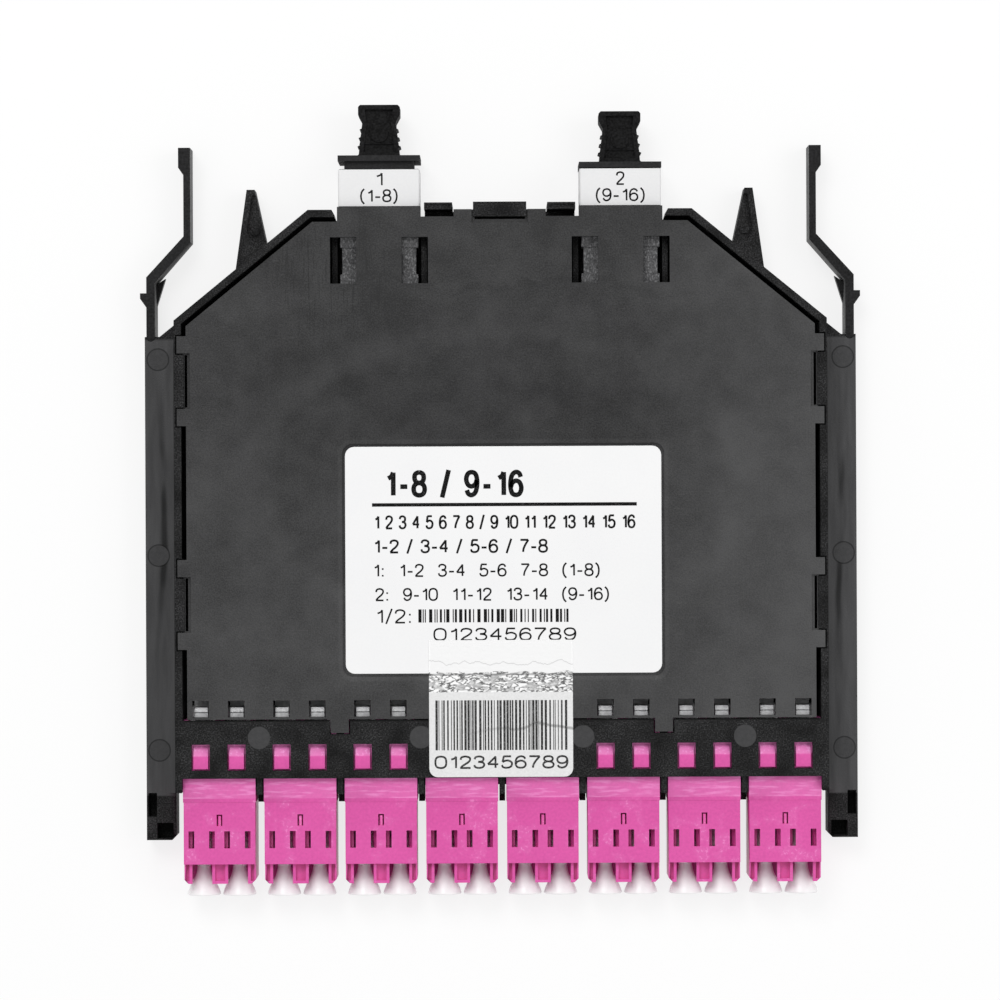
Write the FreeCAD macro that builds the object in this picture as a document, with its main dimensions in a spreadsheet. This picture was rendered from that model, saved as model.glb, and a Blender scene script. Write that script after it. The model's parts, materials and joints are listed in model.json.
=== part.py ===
import FreeCAD, Part
import math
import os

import Sketcher

# Fibre cassette: a flat moulded tray with a snapped-in cover, eight duplex LC adapters along
# the front, two MPO adapters at the rear, and a latch arm on each side.  The frame has its
# origin at the centre of the underside, +Y towards the MPO side, +Z up and X to the right.
# Every driving length is a cell of the sheet "Sizes", in millimetres.

DRIVING = [
    # tray
    ("case_width", 114.0, "outside width over the side walls"),
    ("case_length", 99.2, "front bar edge to rear wall"),
    ("case_height", 12.0, "underside to the top of the walls"),
    ("floor_thick", 1.2, "floor of the tray"),
    ("wall_thick", 1.25, "side, diagonal and rear walls"),
    ("corner_run_x", 23.5, "diagonal rear corner, across"),
    ("corner_run_y", 19.2, "diagonal rear corner, along"),
    ("bar_length", 10.1, "front bar, front to back"),
    ("end_wall_thick", 1.1, "end walls of the adapter row"),
    ("end_wall_reach", 2.0, "end walls beyond the bar"),
    ("divider_thick", 1.0, "walls between the LC adapters"),
    ("divider_reach_top", 2.9, "divider beyond the bar, upper part"),
    ("divider_reach_low", 4.5, "divider beyond the bar, lower part"),
    ("divider_step_z", 6.2, "height of the step in the divider's nose"),
    ("stop_rib_height", 2.4, "rib behind the LC adapters, over the underside"),
    # cover
    ("cover_thick", 1.2, "cover plate"),
    ("cover_gap", 0.85, "wall to cover edge"),
    ("cover_front_gap", 0.2, "front bar to cover edge"),
    ("tab_length", 3.0, "side tabs of the cover"),
    ("tab_reach", 1.6, "side tabs beyond the cover edge"),
    ("front_tab_width", 3.1, "front tabs of the cover"),
    ("front_tab_reach", 2.4, "front tabs beyond the cover edge"),
    ("tab_fit", 0.25, "clearance round each tab"),
    # snap hooks
    ("hook_rear_y", 19.8, "middle of the rear pair of side hooks"),
    ("hook_front_y", -19.25, "middle of the front pair of side hooks"),
    ("hook_length", 9.7, "side hooks, along the wall"),
    ("hook_overhang", 0.45, "hook head beyond its wall"),
    ("hook_head_thick", 0.55, "hook head"),
    ("ledge_thick", 0.6, "lowered ledge of the cover under a hook"),
    ("ledge_show", 1.1, "ledge left open beside the hook head"),
    ("slot_width", 0.45, "slot in the ledge beside a hook head"),
    ("slot_off", 0.15, "hook head to the slot"),
    ("rear_hook_half", 4.65, "rear hook, half width"),
    ("rear_hook_reach", 1.3, "rear hook beyond the rear wall"),
    # rear ears
    ("ear_inner", 8.3, "rear ear, inner edge"),
    ("ear_outer", 13.2, "rear ear, outer edge"),
    ("ear_reach", 1.2, "rear ear beyond the rear wall"),
    ("ear_recess", 0.3, "recess in the top of an ear"),
    ("ear_gap_floor", 6.0, "rear wall in front of an ear, over the underside"),
    # side rails and feet
    ("rail_reach", 5.6, "rail beyond the side wall"),
    ("rail_height", 6.0, "rail over the underside"),
    ("rail_crease", 1.8, "wall to the crease of the rail"),
    ("rail_rise", 1.0, "rise of the rail towards the wall"),
    ("rail_rear_y", 27.8, "rear end of the rail"),
    ("rail_front_y", -52.5, "front end of the rail"),
    ("rail_skin", 1.2, "walls of the rail's channel"),
    ("web_run", 3.0, "diagonal web behind the rail, across"),
    ("web_rise", 2.1, "diagonal web behind the rail, along"),
    ("foot_length", 8.3, "foot in front of the rail"),
    ("foot_inset", 0.4, "wall to the foot's inner face"),
    ("foot_corner", 0.74, "chamfer of the foot's inner corner"),
    ("foot_wall", 0.25, "outer walls of the foot's pockets"),
    ("foot_block_width", 3.15, "block beside the outer pocket"),
    ("foot_pocket_length", 4.2, "outer pocket, along"),
    ("foot_front_pocket", 2.8, "front pocket, along"),
    ("foot_floor", 1.5, "floor of the foot's pockets"),
    # latch arms
    ("arm_thick", 1.5, "lower part of the arm"),
    ("arm_height", 6.0, "arm over the underside"),
    ("arm_root_inset", 0.3, "rail's outer face to the arm's outer face"),
    ("arm_pivot_fit", 0.06, "clearance round the arm's rounded root"),
    ("arm_low_y", 38.3, "top of the straight lower part, outer face"),
    ("arm_bend_drop", 1.0, "inner corners below the outer corners"),
    ("arm_bend_y", 45.5, "upper bend, outer face"),
    ("arm_tip_y", 61.1, "tip of the arm"),
    ("arm_upper_outer", 55.7, "upper part, outer face from the middle"),
    ("arm_upper_thick", 1.2, "upper part"),
    ("tip_pad_reach", 0.9, "pad beyond the upper part"),
    ("tip_pad_length", 3.5, "pad at the tip"),
    ("tip_pad_slope", 1.3, "slope below the pad"),
    ("catch_reach", 1.1, "catch beyond the arm's outer face"),
    ("catch_rear_y", 35.5, "locking face of the catch"),
    ("catch_land", 0.95, "flat of the catch"),
    ("catch_ramp", 1.55, "ramp of the catch"),
    ("gusset_height", 1.6, "low web in the arm's inner bend"),
    ("gusset_low_y", 33.5, "foot of the web"),
    # horns
    ("horn_height", 5.3, "horn over the underside"),
    ("horn_root_outer", 46.7, "horn at the wall, outer edge"),
    ("horn_root_inner", 41.0, "horn at the wall, inner edge"),
    ("horn_tip_outer", 44.6, "horn tip, outer edge"),
    ("horn_tip_inner", 43.2, "horn tip, inner edge"),
    ("horn_tip_y", 53.7, "horn tip"),
    ("horn_rim", 0.5, "tip's inner corner to the sunk face"),
    ("horn_face", 4.5, "sunk inner face over the underside"),
    ("horn_pin_x", 43.2, "round pin mark, from the middle"),
    ("horn_pin_y", 46.5, "round pin mark"),
    ("horn_pin_r", 0.9, "round pin mark"),
    ("horn_pin_rise", 0.3, "pin mark over the sunk face"),
    ("horn_turn_r", 2.3, "rounded end of the sunk face"),
    # LC adapters
    ("row_inset", 1.16, "side of the case to the end adapter"),
    ("lc_port_pitch", 6.25, "port to port in one adapter"),
    ("lc_width", 12.7, "adapter"),
    ("lc_height", 9.4, "adapter"),
    ("lc_mid_y", -53.85, "parting line of the adapter"),
    ("lc_half_length", 14.35, "parting line to either end"),
    ("lc_roof_length", 10.85, "parting line to the end of the roof"),
    ("lc_bay_width", 4.8, "port"),
    ("lc_bay_height", 7.8, "port"),
    ("lc_bay_floor", 0.9, "underside of the adapter to the port"),
    ("lc_axis_height", 3.8, "underside of the adapter to the port's axis"),
    ("key_width", 3.5, "narrow upper part of a front port"),
    ("key_floor", 6.9, "underside of the adapter to the narrow part"),
    ("leg_drop", 1.2, "roof to the top of the legs in front of it"),
    ("leg_recess", 1.0, "recesses in the tops of the legs"),
    ("leg_rim", 0.5, "rim round a recess"),
    ("lc_partition", 1.0, "partition between front and rear ports"),
    ("lc_step", 0.1, "front half inside the rear half"),
    ("lc_corner", 0.7, "chamfer of the adapter's front corners"),
    ("lc_holder_r", 1.25, "sleeve holder"),
    ("lc_holder_bore_r", 0.85, "sleeve holder's bore"),
    ("lc_holder_reach", 5.8, "partition middle to the holder's end"),
    ("catch_slot_width", 1.0, "latch slots in the roof"),
    ("catch_slot_length", 3.0, "latch slots in the roof"),
    ("catch_slot_off", 1.8, "latch slot beside the port's axis"),
    ("catch_slot_y", 5.05, "parting line to the latch slots"),
    ("key_slot_y", 2.15, "parting line to the middle slot"),
    ("key_slot_length", 2.0, "middle slot"),
    ("key_tongue_width", 0.5, "tongue in the middle slot"),
    ("key_tongue_drop", 0.4, "roof to the top of the tongue"),
    ("boss_width", 2.6, "retaining boss on the roof"),
    ("boss_height", 1.1, "retaining boss on the roof"),
    ("boss_front", 5.9, "parting line to the boss's locking face"),
    ("boss_flat", 2.3, "flat of the boss"),
    ("boss_ramp", 1.7, "ramp of the boss"),
    ("window_fit", 0.3, "clearance round a boss in its window"),
    # LC sleeves, dust caps and plugs
    ("sleeve_r", 0.8, "split sleeve"),
    ("sleeve_bore_r", 0.66, "split sleeve's bore"),
    ("sleeve_length", 11.0, "split sleeve"),
    ("sleeve_slot", 0.3, "split"),
    ("cap_bore_r", 1.45, "dust cap's socket"),
    ("cap_nose_r", 1.75, "dust cap's inner end"),
    ("cap_neck_r", 1.78, "dust cap below the flare"),
    ("cap_waist_r", 1.2, "dust cap at its waist"),
    ("cap_waist", 5.2, "dust cap's face to its waist"),
    ("cap_shoulder", 6.9, "dust cap's face to its socket part"),
    ("cap_rim_r", 2.92, "dust cap's rim"),
    ("cap_rim", 0.3, "dust cap's rim, along"),
    ("cap_flare", 2.0, "flare, along"),
    ("cap_length", 14.2, "dust cap"),
    ("cap_bore_depth", 6.6, "dust cap's socket"),
    ("cap_end", 16.65, "parting line to the dust cap's face"),
    ("plug_width", 4.4, "LC plug housing"),
    ("plug_front", 6.4, "parting line to the plug housing's nose"),
    ("plug_rear", 16.6, "parting line to the plug housing's back"),
    ("ferrule_r", 0.62, "ceramic ferrule"),
    ("ferrule_gap", 0.1, "parting line to the ferrule's end"),
    ("trigger_width", 2.4, "latch lever and its ridges"),
    ("trigger_top", 5.3, "ridges over the port's axis"),
    ("boot_r", 1.45, "boot of the LC plug"),
    ("boot_length", 9.5, "boot of the LC plug"),
    ("plug_window", 2.9, "window over each plug"),
    ("plug_window_y", -37.45, "middle of the windows over the plugs"),
    # MPO adapters, plugs, caps and labels
    ("mpo_spread", 42.2, "MPO to MPO"),
    ("mpo_width", 14.0, "adapter outside the case"),
    ("mpo_body_width", 13.7, "adapter inside the case"),
    ("mpo_waist_width", 13.0, "adapter at its seat"),
    ("mpo_height", 9.4, "adapter"),
    ("mpo_end_y", 56.8, "outer end of the adapter"),
    ("mpo_inner_y", 27.8, "inner end of the adapter"),
    ("mpo_shoulder_y", 48.2, "step to the outer part"),
    ("waist_rear_y", 43.0, "seat of the adapter"),
    ("waist_front_y", 38.4, "seat of the adapter"),
    ("waist_step", 0.25, "top of the waist below the adapter's top"),
    ("mpo_mouth_width", 12.4, "wide mouth at either end"),
    ("mpo_mouth_height", 7.8, "wide mouth at either end"),
    ("mpo_mouth_depth", 3.0, "wide mouth at either end"),
    ("mpo_bore_width", 8.2, "passage between the latch hooks"),
    ("mpo_bore_height", 6.0, "passage between the latch hooks"),
    ("seat_gap", 0.5, "adapter to the seat walls"),
    ("seat_wall", 0.95, "seat walls"),
    ("seat_height", 9.0, "seat walls over the underside"),
    ("seat_key_height", 5.0, "seat keys over the underside"),
    ("seat_key_fit", 0.15, "clearance round a seat key"),
    ("tongue_width", 14.6, "cover over the adapter"),
    ("tongue_fit", 0.54, "gap beside the tongue"),
    ("tongue_end_y", 50.1, "end of the tongue"),
    ("mpo_window_inner", 3.95, "windows over the adapter, inner edge"),
    ("mpo_window_outer", 8.55, "windows over the adapter, outer edge"),
    ("mpo_window_front_y", 36.7, "windows over the adapter"),
    ("mpo_window_rear_y", 44.8, "windows over the adapter"),
    ("flange_width", 14.4, "MPO cap's flange"),
    ("flange_height", 9.6, "MPO cap's flange"),
    ("flange_thick", 1.0, "MPO cap's flange"),
    ("flange_gap", 0.1, "adapter to the flange of a seated cap"),
    ("cap_pulled", 1.3, "how far the left cap stands out"),
    ("grip_length", 9.0, "MPO cap's grip"),
    ("grip_base", 7.1, "grip at the flange"),
    ("grip_waist", 5.9, "grip at its waist"),
    ("grip_waist_y", 5.6, "flange to the waist"),
    ("grip_head", 7.3, "grip at its head"),
    ("grip_head_length", 2.1, "head of the grip"),
    ("grip_thick", 6.0, "grip"),
    ("grip_dish", 0.7, "dish in either face of the grip"),
    ("grip_rim", 0.8, "rim round the dish"),
    ("grip_rib", 0.35, "side ribs of the grip"),
    ("grip_ribbed", 4.48, "ribbed stretch below the waist"),
    ("grip_panel_width", 5.7, "raised middle of the dish"),
    ("grip_panel_front", 2.15, "flange to the raised middle"),
    ("grip_panel_rear", 5.9, "flange to the raised middle's far end"),
    ("grip_panel_rise", 0.3, "raised middle over the dish"),
    ("grip_boss_y", 4.0, "flange to the round boss"),
    ("grip_boss_r", 1.55, "round boss in the dish"),
    ("stub_width", 7.9, "MPO cap's stub"),
    ("stub_height", 5.6, "MPO cap's stub"),
    ("stub_length", 7.0, "MPO cap's stub"),
    ("stub_socket_width", 6.9, "socket in the stub"),
    ("stub_socket_height", 3.2, "socket in the stub"),
    ("ferrule_width", 6.4, "MPO ferrule"),
    ("ferrule_height", 2.5, "MPO ferrule"),
    ("ferrule_end_y", 46.0, "face of the MPO ferrule"),
    ("shell_width", 12.0, "MPO plug's outer shell"),
    ("shell_height", 7.4, "MPO plug's outer shell"),
    ("shell_rear_y", 15.0, "back of the MPO plug's shell"),
    ("shell_front_y", 29.5, "front of the MPO plug's shell"),
    ("mpo_boot_end_y", 8.0, "end of the MPO plug's boot"),
    ("mpo_boot_base", 6.0, "MPO boot at the shell"),
    ("mpo_boot_tip", 3.4, "MPO boot at its end"),
    ("band_rear_y", 56.7, "port label's outer edge"),
    ("band_front_y", 50.3, "port label's inner edge"),
    ("paper_thick", 0.12, "labels and sticker"),
    # labels
    ("label_width", 55.2, "identity label"),
    ("label_length", 39.6, "identity label"),
    ("label_x", 0.4, "middle of the label"),
    ("label_y", -11.6, "middle of the label"),
    ("label_margin", 0.45, "recess round the label"),
    ("label_recess", 0.15, "depth of the recess"),
    ("label_corner_r", 1.7, "corners of the recess"),
    ("seal_width", 25.1, "seal sticker"),
    ("seal_x", -0.15, "middle of the sticker"),
    ("seal_rear_y", -25.6, "rear edge of the sticker"),
    ("seal_front_y", -49.5, "front edge of the sticker"),
    ("seal_corner", 0.8, "front corners of the sticker"),
    # fibre harness
    ("trunk_width", 2.4, "ribbon from the MPO plug"),
    ("trunk_height", 1.0, "ribbon from the MPO plug"),
    ("fibre_width", 0.9, "single buffered fibres"),
    ("trunk_end_y", 1.0, "where the ribbon splits"),
    ("split_length", 6.0, "fan-out block"),
    ("split_width", 8.4, "fan-out block"),
    ("split_height", 2.0, "fan-out block"),
]

LC_COUNT = 8
PORT_SIDES = (-1, 1)
SIDES = (("left", -1), ("right", 1))
HOLDER_FLATS = 8
CAP_FLATS = 10
PIN_FLATS = 12
GRIP_RIBS = 3
HALF_TURN = math.sqrt(0.5)
CHECKED_CUTS = []


class Size:
    """A length: its value in millimetres and the sheet formula that gives it."""

    def __init__(self, value, text):
        self.value = value
        self.text = text

    @staticmethod
    def of(number):
        """A plain number as a Size, or a Size unchanged."""
        if isinstance(number, Size):
            return number
        return Size(float(number), f"({float(number)!r})")

    def __add__(self, other):
        other = Size.of(other)
        return Size(self.value + other.value, f"({self.text} + {other.text})")

    def __sub__(self, other):
        other = Size.of(other)
        return Size(self.value - other.value, f"({self.text} - {other.text})")

    def __mul__(self, other):
        other = Size.of(other)
        return Size(self.value * other.value, f"({self.text} * {other.text})")

    def __truediv__(self, other):
        other = Size.of(other)
        return Size(self.value / other.value, f"({self.text} / {other.text})")

    def __neg__(self):
        return self * -1

    def root(self):
        """Square root."""
        return Size(math.sqrt(self.value), f"sqrt({self.text})")

    __radd__ = __add__
    __rmul__ = __mul__

    def __rsub__(self, other):
        return Size.of(other) - self


class Sizes:
    """The sheet of driving lengths, read as attributes."""

    def __init__(self, document, rows):
        sheet = document.addObject("Spreadsheet::Sheet", "Sizes")
        for row, (alias, value, note) in enumerate(rows, start=1):
            sheet.set(f"A{row}", alias)
            sheet.set(f"B{row}", str(value))
            sheet.set(f"C{row}", note)
            sheet.setAlias(f"B{row}", alias)
            setattr(self, alias, Size(value, f"Sizes.{alias}"))


DOC = FreeCAD.newDocument("fibre_cassette")
S = Sizes(DOC, DRIVING)
DOC.recompute()


def rectangle(left, right, low, high):
    """Corners of a rectangle, counter-clockwise."""
    return [(left, low), (right, low), (right, high), (left, high)]


def block(centre, width, low, high):
    """Corners of a rectangle that is centred across."""
    return rectangle(centre - width / 2, centre + width / 2, low, high)


def flipped(loop, side):
    """A loop as drawn on the right (side 1), or its mirror image on the left (side -1)."""
    return [(Size.of(x) * side, y) for x, y in loop]


def on_both_sides(loop):
    """The loop on the right and its mirror image on the left."""
    return [flipped(loop, side) for _, side in SIDES]


def closed_by_mirror(half):
    """One symmetrical loop from its right half, given from the rear middle to the front middle."""
    return half + list(reversed(flipped(half, -1)))


def flats(x, y, radius, sides, hole=False):
    """Corners of an upright regular polygon, inside the circle for a pin and round it for a hole."""
    reach = radius / math.cos(math.pi / sides) if hole else radius
    turns = [math.pi * (2 * corner + 1) / sides for corner in range(sides)]
    return [(x + reach * math.cos(turn), y + reach * math.sin(turn)) for turn in turns]


class Disc:
    """A circle in a sketch."""

    def __init__(self, x, y, radius):
        self.x, self.y, self.radius = Size.of(x), Size.of(y), radius


class Moulding:
    """One sub-part: a body whose sketches and features are bound to the sheet."""

    def __init__(self, label, place=(0, 0, 0)):
        self.body = DOC.addObject("PartDesign::Body", label)
        self.body.Label = label
        for axis, value in zip("xyz", place):
            self.body.setExpression(f"Placement.Base.{axis}", Size.of(value).text)
        self.count = 0

    def datum(self, role):
        """The body's own origin plane or axis of that role."""
        return next(item for item in self.body.Origin.OriginFeatures if item.Role == role)

    def sketch(self, plane, loops, level):
        """A sketch on an origin plane, moved along the plane's normal to the level."""
        self.count += 1
        made = self.body.newObject("Sketcher::SketchObject", f"{self.body.Name}_sketch_{self.count}")
        made.AttachmentSupport = [(self.datum(f"{plane}_Plane"), "")]
        made.MapMode = "FlatFace"
        made.setExpression("AttachmentOffset.Base.z", Size.of(level).text)
        for loop in loops:
            if isinstance(loop, Disc):
                self.draw_disc(made, loop)
            else:
                self.draw_loop(made, loop)
        return made

    @staticmethod
    def draw_disc(sketch, disc):
        """Add a circle held by its centre and radius."""
        centre = FreeCAD.Vector(disc.x.value, disc.y.value, 0)
        edge = sketch.addGeometry(Part.Circle(centre, FreeCAD.Vector(0, 0, 1), disc.radius.value), False)
        bind(sketch, Sketcher.Constraint("DistanceX", -1, 1, edge, 3, disc.x.value), disc.x)
        bind(sketch, Sketcher.Constraint("DistanceY", -1, 1, edge, 3, disc.y.value), disc.y)
        bind(sketch, Sketcher.Constraint("Radius", edge, disc.radius.value), disc.radius)

    @staticmethod
    def draw_loop(sketch, loop):
        """Add a closed chain of lines with each corner held from the sketch's origin."""
        corners = [(Size.of(x), Size.of(y)) for x, y in loop]
        spots = [FreeCAD.Vector(x.value, y.value, 0) for x, y in corners]
        lines = [Part.LineSegment(a, b) for a, b in zip(spots, spots[1:] + spots[:1])]
        first = sketch.addGeometry(lines, False)[0]
        last = first + len(lines) - 1
        joints = [
            Sketcher.Constraint("Coincident", line, 2, first if line == last else line + 1, 1)
            for line in range(first, last + 1)
        ]
        sketch.addConstraint(joints)
        held = []
        for line, (x, y) in enumerate(corners, start=first):
            held.append((Sketcher.Constraint("DistanceX", -1, 1, line, 1, x.value), x))
            held.append((Sketcher.Constraint("DistanceY", -1, 1, line, 1, y.value), y))
        numbers = sketch.addConstraint([constraint for constraint, _ in held])
        for number, (_, size) in zip(numbers, held):
            sketch.setExpression(f"Constraints[{number}]", size.text)

    def pad(self, plane, loops, low, high):
        """Solid from the low to the high level along the plane's axis."""
        level = -Size.of(high) if plane == "XZ" else low
        return self.feature("Pad", plane, loops, level, Size.of(high) - low)

    def pocket(self, plane, loops, low, high):
        """Cut from the low to the high level along the plane's axis."""
        level = -Size.of(low) if plane == "XZ" else high
        made = self.feature("Pocket", plane, loops, level, Size.of(high) - low)
        CHECKED_CUTS.append(made)
        return made

    def feature(self, kind, plane, loops, level, length):
        """A pad or a pocket of the given length from a new sketch."""
        drawn = self.sketch(plane, loops, level)
        made = self.body.newObject(f"PartDesign::{kind}", f"{self.body.Name}_{kind}_{self.count}")
        made.Profile = drawn
        made.Refine = False
        made.setExpression("Length", length.text)
        return made

    def finish(self):
        """Merge the faces that lie in one plane, and hand the body over."""
        self.body.Tip.Refine = True
        return self.body

    def repeat(self, feature, count, length):
        """Copies of a feature in a row across the body."""
        made = self.body.newObject("PartDesign::LinearPattern", f"{feature.Name}_row")
        made.Originals = [feature]
        made.Direction = (self.datum("X_Axis"), [""])
        made.setExpression("Length", length.text)
        made.Occurrences = count
        made.Refine = False
        self.body.Tip = made
        return made

    def dress(self, kind, size, wanted):
        """A fillet or chamfer on the edges of the last feature that the test accepts."""
        DOC.recompute()
        base = self.body.Tip
        names = [f"Edge{n}" for n, edge in enumerate(base.Shape.Edges, start=1) if wanted(edge)]
        made = self.body.newObject(f"PartDesign::{kind}", f"{base.Name}_{kind}")
        made.Base = (base, names)
        made.setExpression("Radius" if kind == "Fillet" else "Size", size.text)
        return made


def bind(sketch, constraint, size):
    """Add one constraint and drive it from the sheet."""
    number = sketch.addConstraint(constraint)
    sketch.setExpression(f"Constraints[{number}]", size.text)


# Lines of the case that several pieces share.
SIDE = S.case_width / 2
REAR = S.case_length / 2
BAR_FRONT = -REAR
BAR_REAR = BAR_FRONT + S.bar_length
TOP = S.case_height
SEAT_Z = TOP - S.cover_thick
REAR_WALL_FRONT = REAR - S.wall_thick
COVER_FRONT = BAR_REAR + S.cover_front_gap
RAIL_OUT = SIDE + S.rail_reach
LC_PITCH = (S.case_width - S.lc_width - S.row_inset * 2) / (LC_COUNT - 1)
DIVIDER_SPAN = LC_PITCH * (LC_COUNT - 2)
DIAGONAL = (S.corner_run_x * S.corner_run_x + S.corner_run_y * S.corner_run_y).root()
SIDE_TURN = (DIAGONAL - S.corner_run_y) / S.corner_run_x
REAR_TURN = (DIAGONAL - S.corner_run_x) / S.corner_run_y
MPO_X = S.mpo_spread / 2
MPO_Z = S.floor_thick + S.mpo_height / 2
LC_AXIS_Z = S.floor_thick + S.lc_axis_height
MPO_BAY_OUTER = MPO_X + S.tongue_width / 2 + S.tongue_fit
MPO_BAY_FLARE = MPO_BAY_OUTER + S.wall_thick / 3


def diagonal_corners(inset):
    """The two corners of the right diagonal, moved in from the outside by the inset."""
    side_corner = (SIDE - inset, REAR - S.corner_run_y - SIDE_TURN * inset)
    rear_corner = (SIDE - S.corner_run_x - REAR_TURN * inset, REAR - inset)
    return rear_corner, side_corner


def hook_spans():
    """(low y, high y) of each pair of side hooks."""
    return [(y - S.hook_length / 2, y + S.hook_length / 2) for y in (S.hook_rear_y, S.hook_front_y)]


def tab_spans():
    """(low y, high y) of the cover's side tabs: one at each end of every hook."""
    spans = []
    for low, high in hook_spans():
        spans.append((high, high + S.tab_length))
        spans.append((low - S.tab_length, low))
    return spans


def adapter_x(index):
    """Middle of the LC adapter, counted from the left."""
    return LC_PITCH * (index - (LC_COUNT - 1) / 2)


# ---------------------------------------------------------------------------- tray

def tray_outline():
    """Right half of the floor: hook, ear, bay for the MPO adapter, diagonal and side."""
    rear_corner, side_corner = diagonal_corners(0)
    return [
        (S.rear_hook_half, REAR + S.rear_hook_reach),
        (S.rear_hook_half, REAR),
        (S.ear_inner, REAR),
        (S.ear_inner, REAR + S.ear_reach),
        (S.ear_outer, REAR + S.ear_reach),
        (S.ear_outer, REAR_WALL_FRONT),
        (MPO_BAY_OUTER, REAR_WALL_FRONT),
        (MPO_BAY_FLARE, REAR),
        rear_corner,
        side_corner,
        (SIDE, BAR_FRONT - S.end_wall_reach),
    ]


def add_walls(tray):
    """Side, diagonal and rear walls, then the lower wall that carries the cover's rear edge."""
    rear_out, side_out = diagonal_corners(0)
    rear_in, side_in = diagonal_corners(S.wall_thick)
    wall = [
        (SIDE, BAR_FRONT - S.end_wall_reach),
        side_out,
        rear_out,
        (MPO_BAY_FLARE, REAR),
        (MPO_BAY_OUTER, REAR_WALL_FRONT),
        rear_in,
        side_in,
        (SIDE - S.wall_thick, BAR_REAR),
        (SIDE - S.end_wall_thick, BAR_REAR),
        (SIDE - S.end_wall_thick, BAR_FRONT - S.end_wall_reach),
    ]
    tray.pad("XY", on_both_sides(wall), 0, TOP)
    tray.pad("XY", [rectangle(-S.ear_outer, S.ear_outer, REAR_WALL_FRONT, REAR)], 0, SEAT_Z)


def add_rear_hook_and_ears(tray):
    """The hook and the two ears that stand behind the cover's rear edge."""
    post = rectangle(-S.rear_hook_half, S.rear_hook_half, REAR, REAR + S.rear_hook_reach)
    head = rectangle(-S.rear_hook_half, S.rear_hook_half, REAR_WALL_FRONT, REAR)
    ear = rectangle(S.ear_inner, S.ear_outer, REAR, REAR + S.ear_reach)
    gap = rectangle(S.ear_inner - S.tab_fit, S.ear_outer, REAR_WALL_FRONT, REAR)
    tray.pocket("XY", on_both_sides(gap), S.ear_gap_floor, SEAT_Z)
    tray.pad("XY", [post], 0, TOP)
    tray.pad("XY", [head], TOP - S.hook_head_thick, TOP)
    tray.pad("XY", on_both_sides(ear), 0, TOP)
    rim = S.ear_recess
    dish = rectangle(S.ear_inner + rim, S.ear_outer - rim, REAR + rim, REAR + S.ear_reach - rim)
    tray.pocket("XY", on_both_sides(dish), TOP - S.ear_recess, TOP)


def add_side_hooks(tray):
    """Pockets for the cover's tabs and the hook heads between them."""
    inner = SIDE - S.wall_thick
    reach = inner - S.cover_gap + S.tab_reach + S.tab_fit
    pockets = [
        rectangle(inner - S.tab_fit, reach, low - S.tab_fit, high + S.tab_fit)
        for low, high in tab_spans()
    ]
    tray.pocket("XY", [flipped(loop, side) for loop in pockets for _, side in SIDES], SEAT_Z, TOP)
    heads = [
        rectangle(inner - S.hook_overhang, inner, low + S.tab_fit, high - S.tab_fit)
        for low, high in hook_spans()
    ]
    loops = [flipped(loop, side) for loop in heads for _, side in SIDES]
    tray.pad("XY", loops, TOP - S.hook_head_thick, TOP)


def add_adapter_row(tray):
    """Stepped dividers, stop rib and the windowed bar that the LC adapters snap into."""
    half = S.divider_thick / 2
    first = -DIVIDER_SPAN / 2
    nose = [
        (BAR_FRONT - S.divider_reach_low, S.floor_thick / 2),
        (BAR_REAR, S.floor_thick / 2),
        (BAR_REAR, SEAT_Z),
        (BAR_FRONT - S.divider_reach_top, SEAT_Z),
        (BAR_FRONT - S.divider_reach_top, S.divider_step_z),
        (BAR_FRONT - S.divider_reach_low, S.divider_step_z),
    ]
    divider = tray.pad("YZ", [nose], first - half, first + half)
    tray.repeat(divider, LC_COUNT - 1, DIVIDER_SPAN)
    stop = rectangle(-SIDE + S.wall_thick, SIDE - S.wall_thick, BAR_REAR, BAR_REAR + S.divider_thick)
    tray.pad("XY", [stop], S.floor_thick / 2, S.stop_rib_height)
    tray.pad("XY", [rectangle(-SIDE, SIDE, BAR_FRONT, BAR_REAR)], SEAT_Z, TOP)
    front = S.lc_mid_y + S.boss_front - S.window_fit
    rear = S.lc_mid_y + S.boss_front + S.boss_flat + S.boss_ramp + S.window_fit
    width = S.boss_width + S.window_fit * 2
    windows = [block(adapter_x(0) + S.lc_port_pitch / 2 * side, width, front, rear) for side in PORT_SIDES]
    cut = tray.pocket("XY", windows, SEAT_Z, TOP)
    tray.repeat(cut, LC_COUNT, LC_PITCH * (LC_COUNT - 1))
    notch = front_tab(S.tab_fit)
    tray.pocket("XY", on_both_sides(notch), SEAT_Z, TOP)


def front_tab(growth):
    """The cover's front tab, which lies on the divider beside the third adapter."""
    middle = LC_PITCH * 2
    wide = S.front_tab_width + growth * 2
    return block(middle, wide, COVER_FRONT - S.front_tab_reach - growth, COVER_FRONT)


def add_mpo_seats(tray):
    """Walls beside each MPO adapter, with keys that enter its waist."""
    wall_in = S.mpo_body_width / 2 + S.seat_gap
    wall_out = wall_in + S.seat_wall
    key_in = S.mpo_waist_width / 2 + S.seat_key_fit
    key_front = S.waist_front_y + S.seat_key_fit
    key_rear = S.waist_rear_y - S.seat_key_fit
    walls, keys = [], []
    for _, side in SIDES:
        for hand in PORT_SIDES:
            middle = MPO_X * side
            ends = [middle + wall_in * hand, middle + wall_out * hand]
            low, high = ends if hand == 1 else ends[::-1]
            walls.append(rectangle(low, high, S.mpo_inner_y, REAR_WALL_FRONT - S.seat_gap))
            ends = [middle + key_in * hand, middle + wall_in * hand]
            low, high = ends if hand == 1 else ends[::-1]
            keys.append(rectangle(low, high, key_front, key_rear))
    tray.pad("XY", walls, S.floor_thick / 2, S.seat_height)
    tray.pad("XY", keys, S.floor_thick / 2, S.seat_key_height)


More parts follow.
